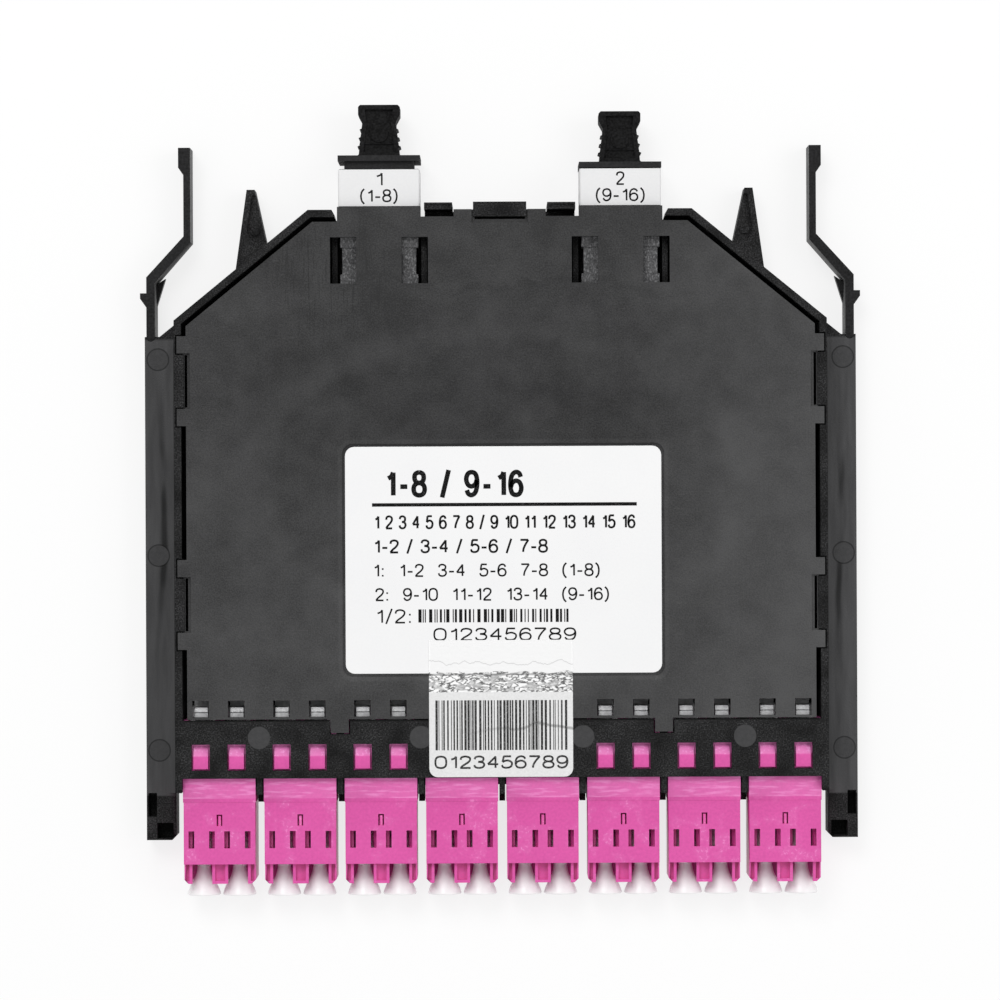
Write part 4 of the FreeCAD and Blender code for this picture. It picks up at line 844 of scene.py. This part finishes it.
def loft(name: str, rings: np.ndarray, capped: bool = True, smooth: float = 35.0) -> Mesh:
    """A skin over closed rings, one after another.

    The surface is a function of two whole numbers: ring i and place j on it give the point
    rings[i, j], and the places go round, so the last is joined to the first.

    Args:
        name: the mesh's name.
        rings: an array of (rings, places, 3) in millimetres.
        capped: closes the first and the last ring with one face each, or else joins the last ring
            to the first.
        smooth: the angle in degrees below which an edge is shaded smooth.

    Returns:
        The mesh, with its faces outwards.
    """
    count, places = rings.shape[:2]
    index = np.arange(count * places).reshape(count, places)
    ends = [index[0, ::-1].tolist(), index[-1].tolist()] if capped else []
    if not capped:
        index = np.vstack((index, index[:1]))
    mesh = skin(name, rings, quads(np.hstack((index, index[:, :1]))).tolist() + ends)
    outwards(mesh)
    shade(mesh, smooth)
    return mesh


def outwards(mesh: Mesh) -> None:
    """Turns the faces of a closed mesh outwards."""
    work = bmesh.new()
    work.from_mesh(mesh)
    bmesh.ops.recalc_face_normals(work, faces=work.faces)
    work.to_mesh(mesh)
    work.free()


def shade(mesh: Mesh, angle: float) -> None:
    """Smooth shading, with edges sharper than the angle in degrees kept sharp."""
    mesh.polygons.foreach_set("use_smooth", np.ones(len(mesh.polygons), bool))
    mesh.set_sharp_from_angle(angle=math.radians(angle))
    mesh.update()


def rounded(half: Sequence[float], corners: Sequence[float], steps: int = 6) -> np.ndarray:
    """The outline of a rectangle with round corners, anticlockwise.

    Each corner is an arc: its centre lies one radius inside both sides, and the point at angle a
    is that centre plus the radius times (cos a, sin a).

    Args:
        half: half the width and half the length.
        corners: the radii at the right rear, left rear, left front and right front.
        steps: the number of points on each arc.

    Returns:
        An array of (places, 2).
    """
    radius = np.asarray(corners, float)[:, None]
    side = np.array([(1, 1), (-1, 1), (-1, -1), (1, -1)], float)
    centre = side[:, None, :] * (np.asarray(half, float) - radius[..., None])
    angle = np.linspace(0, math.pi / 2, steps)[None, :] + np.arange(4)[:, None] * math.pi / 2
    arc = np.stack((np.cos(angle), np.sin(angle)), axis=-1) * radius[..., None]
    return (centre + arc).reshape(-1, 2)


def sheet(
    name: str, middle: np.ndarray, half: np.ndarray,
    corners: Sequence[float], low: float, high: float,
) -> Mesh:
    """A flat sheet with round corners and a softened upper edge.

    The rings are the outline at low, at nearly high, and, drawn in by the edge's radius, at high.

    Args:
        name: the mesh's name.
        middle: the sheet's centre in X and Y.
        half: half its width and half its length.
        corners: the four corner radii.
        low: the underside's height.
        high: the upper side's height.

    Returns:
        The mesh.
    """
    edge = (high - low) * 0.3
    outline = rounded(half, corners)
    inner = outline * (1.0 - edge / half)
    flat = np.stack((outline, outline, inner)) + middle
    level = np.broadcast_to(np.array([low, high - edge, high])[:, None, None], (3, len(outline), 1))
    return loft(name, np.concatenate((flat, level), axis=-1))


def softened(node: str, name: str, edge: float) -> Object:
    """A merged copy of a solid with rounded edges.

    Args:
        node: the solid's node.
        name: the new piece's name.
        edge: the width of the rounding in millimetres.

    Returns:
        The new object, with a Bevel modifier.
    """
    mesh = bpy.data.meshes.new(name)
    work = bmesh.new()
    work.from_mesh(frame["nodes"][node].data)
    bmesh.ops.remove_doubles(work, verts=work.verts, dist=MERGE)
    work.to_mesh(mesh)
    work.free()
    shade(mesh, SHARP)
    made = linked(name, mesh)
    bevel = made.modifiers.new("edge_round", "BEVEL")
    bevel.width = edge * MM
    bevel.segments = 2
    bevel.limit_method = "ANGLE"
    bevel.angle_limit = math.radians(SHARP)
    bevel.use_clamp_overlap = True
    bevel.harden_normals = True
    return made


def piece(mesh: Mesh) -> Object:
    """An object for a finished mesh, at the origin."""
    return linked(mesh.name, mesh)


def settle(
    made: Object, finish: Shade, slot: str, body: Optional[str] = "case",
    stands_for: Sequence[str] = (),
) -> None:
    """Gives a piece its finish, its slot, its body and the solids that it stands for.

    Args:
        made: the piece.
        finish: its finish.
        slot: the record's material slot.
        body: the body it rides on, or None where it is blended between two.
        stands_for: the nodes it replaces.
    """
    made.data.materials.clear()
    made.data.materials.append(finish.material())
    if body is not None:
        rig.ride(made, body)
    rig.slot(made, slot)
    if stands_for:
        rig.replaces(made, *stands_for)
    LOG.info("%s: %d faces, %s", made.name, len(made.data.polygons), finish.name)


def coat(node: str, finish: Shade) -> None:
    """Gives a node that stays its finish."""
    target = frame["nodes"][node]
    if target.material_slots:
        for held in target.material_slots:
            held.material = finish.material()
    else:
        target.data.materials.append(finish.material())
    LOG.info("%s: kept, %s", node, finish.name)


def smooth_line(points: np.ndarray, steps: int) -> np.ndarray:
    """A smooth line through points.

    Between points b and c, with neighbours a and d, the line at t is half of 2b plus (c - a) t
    plus (2a - 5b + 4c - d) t squared plus (3b - a - 3c + d) t cubed. A closed line takes its
    neighbours round the join, and an open one reflects its ends.

    Args:
        points: an array of (points, 2).
        steps: the places on each stretch.

    Returns:
        The finer line, as an array of (places, 2).
    """
    if len(points) == 2:
        return points
    closed = np.allclose(points[0], points[-1])
    before = points[-2] if closed else 2 * points[0] - points[1]
    after = points[1] if closed else 2 * points[-1] - points[-2]
    full = np.vstack((before, points, after))
    a, b, c, d = (full[k:len(full) - 3 + k, None, :] for k in range(4))
    t = np.linspace(0, 1, steps, endpoint=False)[None, :, None]
    run = 0.5 * (
        2 * b + (c - a) * t + (2 * a - 5 * b + 4 * c - d) * t ** 2
        + (3 * b - a - 3 * c + d) * t ** 3
    )
    return np.vstack((run.reshape(-1, 2), points[-1:]))


# --- print

# Widths and points are in hundredths of a figure's height.
ROUND = [(30, 100), (10, 93), (0, 72), (0, 28), (10, 7), (30, 0), (50, 7), (60, 28), (60, 72),
         (50, 93), (30, 100)]
SIX = [(56, 78), (48, 94), (30, 100), (10, 88), (1, 60), (1, 30), (10, 7), (30, 0), (50, 7),
       (59, 30), (50, 54), (30, 62), (10, 52), (2, 34)]
FIGURES: dict[str, tuple[int, list[list[tuple[int, int]]]]] = {
    "0": (60, [ROUND]),
    "1": (42, [[(38, 0), (38, 100)], [(38, 100), (28, 83), (10, 74)]]),
    "2": (60, [[(2, 72), (8, 92), (30, 100), (53, 91), (57, 70), (44, 47), (16, 20),
               (2, 0)], [(0, 0), (60, 0)]]),
    "3": (60, [[(3, 76), (10, 94), (30, 100), (50, 92), (55, 76), (47, 58), (24, 53)], [(24, 53),
               (50, 47), (59, 28), (50, 7), (28, 0), (8, 7), (1, 25)]]),
    "4": (60, [[(44, 0), (44, 100)], [(46, 100), (0, 32)], [(0, 32), (60, 32)]]),
    "5": (60, [[(54, 100), (10, 100)], [(12, 100), (5, 50)], [(5, 50), (20, 61), (38, 63),
               (56, 50), (59, 30), (50, 8), (28, 0), (8, 6), (1, 24)]]),
    "6": (60, [SIX]),
    "7": (60, [[(0, 100), (60, 100)], [(60, 100), (38, 62), (24, 28), (20, 0)]]),
    "8": (60, [[(30, 100), (10, 93), (5, 76), (12, 60), (30, 54), (48, 60), (55, 76), (50, 93),
               (30, 100)], [(30, 54), (8, 46), (0, 27), (8, 7), (30, 0), (52, 7), (60, 27),
               (52, 46), (30, 54)]]),
    "9": (60, [[(60 - x, 100 - y) for x, y in SIX]]),
    "-": (42, [[(2, 38), (40, 38)]]),
    "(": (30, [[(28, 110), (10, 85), (3, 45), (10, 5), (28, -20)]]),
    ")": (30, [[(2, 110), (20, 85), (27, 45), (20, 5), (2, -20)]]),
    "/": (36, [[(0, -10), (36, 110)]]),
    ":": (20, [[(10, -2), (10, 12)], [(10, 56), (10, 70)]]),
    " ": (30, []),
}


@dataclass(frozen=True)
class Words:
    """One line of drawn figures, fitted to a width and a height."""

    name: str
    text: str
    middle: Pair
    width: float
    height: float
    weight: float = 0.3
    space: float = 0.2
    steps: int = 5

    def strokes(self) -> list[np.ndarray]:
        """Every stroke's centre line, in millimetres round the line's own middle."""
        widths = np.array([FIGURES[sign][0] for sign in self.text]) / 100 + self.space
        starts = np.concatenate(([0.0], np.cumsum(widths)))
        scale = np.array([self.width / (starts[-1] - self.space), self.height])
        shift = np.array([(starts[-1] - self.space) / 2, 0.5])
        return [
            smooth_line((np.array(points) / 100 + (start, 0.0) - shift) * scale, self.steps)
            for sign, start in zip(self.text, starts)
            for points in FIGURES[sign][1]
        ]

    def mesh(self, level: float) -> Mesh:
        """The line as flat ribbons.

        A ribbon's two sides are its centre line plus and less half the weight times the line's
        normal, which is the tangent turned by a right angle.

        Args:
            level: the ribbons' height, in millimetres.

        Returns:
            The mesh.
        """
        points, faces, first = [], [], 0
        for number, run in enumerate(self.strokes()):
            along = np.gradient(run, axis=0)
            along /= np.linalg.norm(along, axis=1, keepdims=True)
            side = np.stack((-along[:, 1], along[:, 0]), axis=-1) * self.weight / 2
            flat = np.stack((run - side, run + side), axis=1) + np.asarray(self.middle)
            lift = np.full(flat.shape[:2] + (1,), level + number % 4 * 0.0008)
            points.append(np.concatenate((flat, lift), axis=-1).reshape(-1, 3))
            index = first + np.arange(len(run) * 2).reshape(-1, 2)
            faces.append(quads(index))
            first += len(run) * 2
        return skin(self.name, np.vstack(points), np.vstack(faces).tolist())


def stripes(
    name: str, edges: np.ndarray, front: float, rear: float, level: float
) -> Mesh:
    """Flat bars side by side.

    Bar k spans X from edges[k, 0] to edges[k, 1] and Y from front to rear.

    Args:
        name: the mesh's name.
        edges: an array of (bars, 2) in millimetres.
        front: the bars' front end.
        rear: their rear end.
        level: their height.

    Returns:
        The mesh.
    """
    count = len(edges)
    x = edges[:, [0, 1, 1, 0]]
    y = np.broadcast_to(np.array([front, front, rear, rear]), (count, 4))
    points = np.stack((x, y, np.full((count, 4), level)), axis=-1)
    return skin(name, points, np.arange(count * 4).reshape(-1, 4).tolist())


def bar_edges(left: float, right: float, bars: int, seed: int) -> np.ndarray:
    """Bars and gaps of seeded random widths, which encode nothing, fitted between two ends.

    The widths are one to three units each, summed up and scaled to the span.

    Args:
        left: the first bar's left side.
        right: the last bar's right side.
        bars: how many bars there are.
        seed: the seed of the widths.

    Returns:
        An array of (bars, 2).
    """
    steps = np.random.default_rng(seed).integers(1, 4, bars * 2 - 1)
    ends = np.concatenate(([0], np.cumsum(steps)))
    return (left + (right - left) * ends / ends[-1]).reshape(-1, 2)


# --- sub-assemblies

class SubAssembly(ABC):
    """A group of pieces that is built and then dressed."""

    @abstractmethod
    def build(self) -> None:
        """Makes the meshes."""

    @abstractmethod
    def dress(self) -> None:
        """Gives each piece its finish and its body."""


@dataclass
class Tray(SubAssembly):
    """The black tray with its bar, walls, rails, feet and horns."""

    edge: float = 0.1

    def build(self) -> None:
        """A copy of the tray's solid with rounded edges."""
        self.shell = softened("base_shell", "tray_shell", self.edge)

    def dress(self) -> None:
        """Black, riding with the case."""
        settle(self.shell, Shade.TRAY, "case_black", stands_for=["base_shell"])


@dataclass
class Lid(SubAssembly):
    """The flat grey cover."""

    edge: float = 0.12

    def build(self) -> None:
        """A copy of the cover's solid with rounded edges."""
        self.plate = softened("cover", "cover_plate", self.edge)

    def dress(self) -> None:
        """Satin grey, riding with the case."""
        settle(self.plate, Shade.COVER, "cover_grey", stands_for=["cover"])


@dataclass
class SpringArm(SubAssembly):
    """A latch arm that bends out of the tray's rail at its root."""

    side: str
    edge: float = 0.12
    bend_start: float = 27.0
    bend_end: float = 31.0
    bend_z: float = 3.0

    def build(self) -> None:
        """A copy of the arm's solid, with its rounded edges worked into the mesh."""
        held = softened(f"latch_arm_{self.side}", f"spring_arm_{self.side}_rough", self.edge)
        ready = held.evaluated_get(bpy.context.evaluated_depsgraph_get())
        mesh = bpy.data.meshes.new_from_object(ready)
        mesh.name = f"spring_arm_{self.side}"
        bpy.data.objects.remove(held)
        self.arm = piece(mesh)

    def dress(self) -> None:
        """Black, turning smoothly from the case to the arm's body over its root."""
        node = f"latch_arm_{self.side}"
        x = extent(*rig.box(node))[2][0]
        settle(self.arm, Shade.ARM, "case_black", None, [node])
        start, end = (
            tuple(np.array((x, y, self.bend_z)) * MM) for y in (self.bend_start, self.bend_end)
        )
        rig.blend(self.arm, "case", node, start, end)


@dataclass
class AdapterRow(SubAssembly):
    """Eight duplex adapters along the front, with their ceramic sleeves."""

    count: int = 8
    edge: float = 0.14

    def build(self) -> None:
        """Copies of the adapters' solids with rounded edges."""
        self.adapters = [
            softened(f"lc_adapter_{n}", f"port_adapter_{n}", self.edge)
            for n in range(1, self.count + 1)
        ]

    def dress(self) -> None:
        """Magenta housings and white ceramic."""
        for number, adapter in enumerate(self.adapters, 1):
            settle(adapter, Shade.MAGENTA, "adapter_magenta", stands_for=[f"lc_adapter_{number}"])
        coat("alignment_sleeves", Shade.CERAMIC)


@dataclass
class PortCap(SubAssembly):
    """A milky dust cap: a trumpet rim, a slim neck and a socket over the sleeve."""

    number: int
    rim: float = 2.92
    flare: tuple[Pair, ...] = (
        (2.90, 0.30), (2.66, 1.05), (2.10, 2.25), (1.52, 3.4),
        (1.22, 4.6), (1.22, 5.3), (1.74, 6.9),
    )
    bore: float = 1.45
    bore_depth: float = 6.6
    dish: float = 0.25
    places: int = 40

    def profile(self, length: float) -> np.ndarray:
        """Radius and distance from the rim's face, from the face's middle to the bore's end.

        The face and the socket are straight runs, and the flare, waist and shank between them are
        a smooth line through their own points.

        Args:
            length: the cap's whole length.

        Returns:
            An array of (points, 2).
        """
        face = np.array([
            (0.02, self.dish), (self.rim * 0.45, self.dish), (self.rim * 0.62, 0.04),
            (self.rim - 0.12, 0.0), (self.rim, 0.1), (self.rim, 0.22),
        ])
        shank, bottom = self.flare[-1][0], length - self.bore_depth
        tail = np.array([
            (shank, length - 0.12), (shank - 0.1, length), (self.bore + 0.06, length),
            (self.bore, length - 0.1), (self.bore, bottom), (0.02, bottom),
        ])
        return np.vstack((face, smooth_line(np.array(self.flare), 5), tail))

    def build(self) -> None:
        """Turns the profile round the port's axis.

        The point at angle a is the axis plus the radius times (cos a, sin a) in X and Z.
        """
        low, high, middle, _ = extent(*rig.box(f"lc_dust_cap_{self.number}"))
        shape = self.profile(high[1] - low[1])
        angle = np.linspace(0, math.tau, self.places, endpoint=False)
        radius, along = shape[:, 0, None], shape[:, 1, None]
        rings = np.stack((
            middle[0] + radius * np.cos(angle),
            low[1] + along + angle * 0.0,
            middle[2] + radius * np.sin(angle),
        ), axis=-1)
        self.cap = piece(loft(f"port_cap_{self.number}", rings, smooth=40.0))

    def dress(self) -> None:
        """Milky plastic on its own body."""
        node = f"lc_dust_cap_{self.number}"
        settle(self.cap, Shade.MILKY, "cap_clear", node, [node])


@dataclass
class RearPort(SubAssembly):
    """A rear coupler, its printed paper band and its dust cap."""

    number: int
    ports: str
    coupler_edge: float = 0.16
    cap_edge: float = 0.14
    band_edge: float = 0.35
    paper: float = 0.12
    figure_y: float = 55.0
    ports_y: float = 52.1
    ports_width: float = 6.4
    ports_wider: float = 2.0
    skirt_half: Pair = (6.1, 3.8)
    skirt_hole: Pair = (3.9, 2.75)
    skirt_long: float = 1.7
    grip_long: float = 9.0
    flange: float = 1.0

    def build(self) -> None:
        """The coupler and the cap as rounded copies, the band and the skirt as tubes, the print."""
        n = self.number
        self.coupler = softened(f"mpo_adapter_{n}", f"rear_coupler_{n}", self.coupler_edge)
        self.cap = softened(f"mpo_dust_cap_{n}", f"rear_cap_{n}", self.cap_edge)
        self.band = piece(self.wrap())
        self.skirt = piece(self.plug())
        _, high, (x, _, _), _ = extent(*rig.box(f"port_label_{self.number}"))
        width = self.ports_width + self.ports_wider * (n - 1)
        lines = [
            Words(f"rear_figure_{n}", str(n), (x, self.figure_y), 1.3, 2.1),
            Words(f"rear_ports_{n}", self.ports, (x, self.ports_y), width, 2.0),
        ]
        self.lines = [piece(line.mesh(high[2] + 0.01)) for line in lines]

    def tube(
        self, name: str, middle: np.ndarray, half: Sequence[float], hole: Sequence[float],
        edges: Pair, span: Pair,
    ) -> Mesh:
        """A square tube along Y with round corners.

        A rounded rectangle in X and Z is carried along Y, once outside and once inside.

        Args:
            name: the mesh's name.
            middle: its centre in X and Z.
            half: half its width and height outside.
            hole: the same inside.
            edges: the corner radii outside and inside.
            span: its two ends along Y.

        Returns:
            The mesh.
        """
        outer = rounded(half, [edges[0]] * 4, 5)
        inner = rounded(hole, [edges[1]] * 4, 5)
        flat = np.stack((outer, outer, inner, inner)) + middle
        along = np.array([span[0], span[1], span[1], span[0]])[:, None]
        rings = np.stack((flat[..., 0], along + flat[..., 0] * 0.0, flat[..., 1]), axis=-1)
        return loft(name, rings, capped=False, smooth=50.0)

    def plug(self) -> Mesh:
        """The shallow skirt in front of the cap's flange, which enters the coupler's mouth."""
        _, high, middle, _ = extent(*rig.box(f"mpo_dust_cap_{self.number}"))
        face = high[1] - self.grip_long - self.flange
        return self.tube(
            f"rear_cap_skirt_{self.number}", middle[[0, 2]], self.skirt_half, self.skirt_hole,
            (0.5, 0.4), (face - self.skirt_long, face + 0.05),
        )

    def wrap(self) -> Mesh:
        """The paper band, whose inside is its outside drawn in by the paper's thickness."""
        low, high, middle, half = extent(*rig.box(f"port_label_{self.number}"))
        half = half[[0, 2]]
        return self.tube(
            f"rear_band_{self.number}", middle[[0, 2]], half, half - self.paper,
            (self.band_edge, self.band_edge - self.paper), (low[1], high[1]),
        )

    def dress(self) -> None:
        """Speckled grey, satin black, paper and ink."""
        n = self.number
        settle(self.coupler, Shade.COUPLER, "mpo_grey", stands_for=[f"mpo_adapter_{n}"])
        settle(self.cap, Shade.REAR_CAP, "mpo_black", f"mpo_dust_cap_{n}", [f"mpo_dust_cap_{n}"])
        settle(self.skirt, Shade.REAR_CAP, "mpo_black", f"mpo_dust_cap_{n}")
        settle(self.band, Shade.BAND, "label_paper", stands_for=[f"port_label_{n}"])
        for line in self.lines:
            settle(line, Shade.INK, "label_paper")


@dataclass
class MainLabel(SubAssembly):
    """The label in the cover's recess, with a port plan in figures, rules and bars."""

    corner: float = 1.6
    level: float = 0.012
    rule: tuple[Pair, Pair] = ((-22.5, 23.7), (-2.25, -1.65))
    bars: tuple[Pair, Pair] = ((-14.5, 11.7), (-22.5, -20.2))
    bar_count: int = 38
    every_port: str = "1 2 3 4 5 6 7 8 / 9 10 11 12 13 14 15 16"

    def build(self) -> None:
        """The paper, its lines of figures, its rule and its bars."""
        low, high, middle, half = extent(*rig.box("id_label"))
        self.paper = piece(sheet(
            "main_label", middle[:2], half[:2], [self.corner] * 4, low[2], high[2]
        ))
        top = high[2] + self.level
        lines = [
            Words("label_heading", "1-8 / 9-16", (-8.2, 1.7), 23.6, 4.0, 0.82, 0.32),
            Words("label_line_1", self.every_port, (0.6, -5.0), 45.4, 2.1, 0.36),
            Words("label_line_2", "1-2 / 3-4 / 5-6 / 7-8", (-7.1, -9.2), 30.2, 2.1, 0.36),
            Words("label_line_3", "1:  1-2  3-4  5-6  7-8  (1-8)", (-2.6, -13.4), 39.4, 2.0),
            Words("label_line_4", "2:  9-10  11-12  13-14  (9-16)", (-1.6, -17.6), 40.6, 2.0),
            Words("label_line_5", "1/2:", (-18.8, -21.4), 6.2, 2.2),
            Words("label_line_6", "0123456789", (0.6, -24.6), 24.6, 2.0),
        ]
        self.print = [piece(line.mesh(top)) for line in lines]
        rule, bars = np.array([self.rule[0]]), bar_edges(*self.bars[0], self.bar_count, 3)
        self.print.append(piece(stripes("label_rule", rule, *self.rule[1], top)))
        self.print.append(piece(stripes("label_bars", bars, *self.bars[1], top)))

    def dress(self) -> None:
        """White paper and dark ink."""
        settle(self.paper, Shade.PAPER, "label_paper", stands_for=["id_label"])
        for line in self.print:
            settle(line, Shade.INK, "label_paper")


@dataclass
class Seal(SubAssembly):
    """The sticker over the seam, with its bars and figures."""

    rear_corner: float = 0.15
    front_corner: float = 1.5
    level: float = 0.012
    bars: tuple[Pair, Pair] = ((-11.6, 11.4), (-44.8, -36.1))
    bar_count: int = 44

    def build(self) -> None:
        """The film, its bars and the figures under them."""
        low, high, middle, half = extent(*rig.box("seal_sticker"))
        corners = [self.rear_corner] * 2 + [self.front_corner] * 2
        self.film = piece(sheet("seal_film", middle[:2], half[:2], corners, low[2], high[2]))
        top = high[2] + self.level
        bars = bar_edges(*self.bars[0], self.bar_count, 8)
        self.print = [
            piece(stripes("seal_bars", bars, *self.bars[1], top)),
            piece(Words("seal_figures", "0123456789", (-0.1, -46.9), 23.0, 2.0, 0.34).mesh(top)),
        ]

    def dress(self) -> None:
        """Film and ink."""
        settle(self.film, Shade.SEAL, "seal_film", stands_for=["seal_sticker"])
        for line in self.print:
            settle(line, Shade.FADED, "seal_film")


@dataclass
class Inside(SubAssembly):
    """What the closed case holds: port plugs, rear plugs and the fibre."""

    ports: int = 16

    def build(self) -> None:
        """Copies of the port plugs, whose levers show in the cover's windows."""
        self.plugs = [
            softened(f"lc_plug_{n}", f"port_plug_{n}", 0.12) for n in range(1, self.ports + 1)
        ]

    def dress(self) -> None:
        """Grey plugs and aqua fibre."""
        for number, plug in enumerate(self.plugs, 1):
            settle(plug, Shade.PLUG, "plug_grey", stands_for=[f"lc_plug_{number}"])
        for number in (1, 2):
            coat(f"mpo_plug_{number}", Shade.REAR_CAP)
            coat(f"fibre_harness_{number}", Shade.FIBRE)


# --- studio

@dataclass
class Studio:
    """A pale floor, two soft lamps, an even white surround and the camera above."""

    eye: Triple = (-0.165, -1.18, 660.0)
    roll: float = -0.26
    lens: float = 133.7
    sky: float = 0.62
    sensor: float = 36.0
    floor_half: float = 2000.0
    floor_drop: float = 0.1
    floor_dye: Colour = (0.96, 0.96, 0.96)
    floor_glow: float = 0.78

    def seen(self, book: FinishBook) -> Field:
        """1 for rays from the camera, from gloss and through clear film."""
        path = book.node("ShaderNodeLightPath")
        camera, gloss, film = (
            Field(book, path.outputs[f"Is {kind} Ray"])
            for kind in ("Camera", "Glossy", "Transmission")
        )
        return camera.most(gloss).most(film)

    def floor(self) -> None:
        """The floor, a grid whose point (i, j) is the corner plus i and j even steps."""
        step = np.linspace(-self.floor_half, self.floor_half, 9)
        x, y = np.meshgrid(step, step, indexing="ij")
        z = np.full_like(x, CAD_BOX[0][2] / MM - self.floor_drop)
        faces = quads(np.arange(x.size).reshape(x.shape)).tolist()
        mesh = skin("studio_floor", np.stack((x, y, z), axis=-1), faces)
        book = FinishBook("studio_floor")
        matt = book.node("ShaderNodeBsdfDiffuse", None, {"Color": self.floor_dye})
        glow = book.node("ShaderNodeEmission", None, {"Color": (1.0, 1.0, 1.0), "Strength": 1.0})
        mixed = book.node(
            "ShaderNodeMixShader", None,
            {0: self.seen(book) * self.floor_glow, 1: matt.outputs[0], 2: glow.outputs[0]},
        )
        mesh.materials.append(book.close(mixed.outputs[0]))
        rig.stage(piece(mesh))

    def surround(self) -> None:
        """White where it is seen, and a plain even light elsewhere."""
        world = bpy.data.worlds.new("studio_surround")
        bpy.context.scene.world = world
        world.use_nodes = True
        book = FinishBook("studio_surround_nodes")
        bpy.data.materials.remove(book.material)
        book.tree = world.node_tree
        book.tree.nodes.clear()
        strength = self.seen(book) * (1.0 - self.sky) + self.sky
        back = book.node(
            "ShaderNodeBackground", None, {"Color": (1.0, 1.0, 1.0), "Strength": strength}
        )
        book.node("ShaderNodeOutputWorld", None, {"Surface": back.outputs[0]})

    def lamp(self, name: str, at: Triple, power: float, size: float) -> None:
        """A soft square lamp that faces the middle of the object.

        Args:
            name: the lamp's name.
            at: its place in metres.
            power: its power in watts.
            size: the length of its side in metres.
        """
        light = bpy.data.lights.new(name, "AREA")
        light.energy = power
        light.size = size
        held = linked(name, light)
        held.location = at
        x, y, z = at
        held.rotation_euler = (math.atan2(math.hypot(x, y), z), 0.0, math.atan2(x, -y))

    def camera(self) -> None:
        """A long lens straight above the object."""
        data = bpy.data.cameras.new("studio_camera")
        data.lens = self.lens
        data.sensor_width = self.sensor
        held = linked("studio_camera", data)
        held.location = [value * MM for value in self.eye]
        held.rotation_euler = (0.0, 0.0, math.radians(self.roll))
        bpy.context.scene.camera = held

    def build(self) -> None:
        """Sets everything up."""
        bpy.context.scene.view_settings.view_transform = "Standard"
        self.floor()
        self.surround()
        self.lamp("lamp_rear", (-0.25, 0.55, 0.95), 4.5, 0.45)
        self.lamp("lamp_right", (0.70, 0.10, 0.80), 2.0, 0.5)
        self.camera()


def main() -> None:
    """Builds and dresses the sub-assemblies in order, sets up the studio and notes the sizes."""
    logging.basicConfig(level=logging.INFO, format="%(message)s")
    assemblies: list[SubAssembly] = [
        Tray(), Lid(), SpringArm("left"), SpringArm("right"), AdapterRow(),
        *[PortCap(number) for number in range(1, 17)],
        RearPort(1, "(1-8)"), RearPort(2, "(9-16)"), MainLabel(), Seal(), Inside(),
    ]
    for assembly in assemblies:
        assembly.build()
        assembly.dress()
    Studio().build()
    boxes = {"cad": CAD_BOX, "visual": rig.bounds()}
    plain = {name: [list(map(float, corner)) for corner in box] for name, box in boxes.items()}
    with open("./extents.json", "w", encoding="utf-8") as out:
        json.dump(plain, out)


if __name__ == "__main__":
    main()
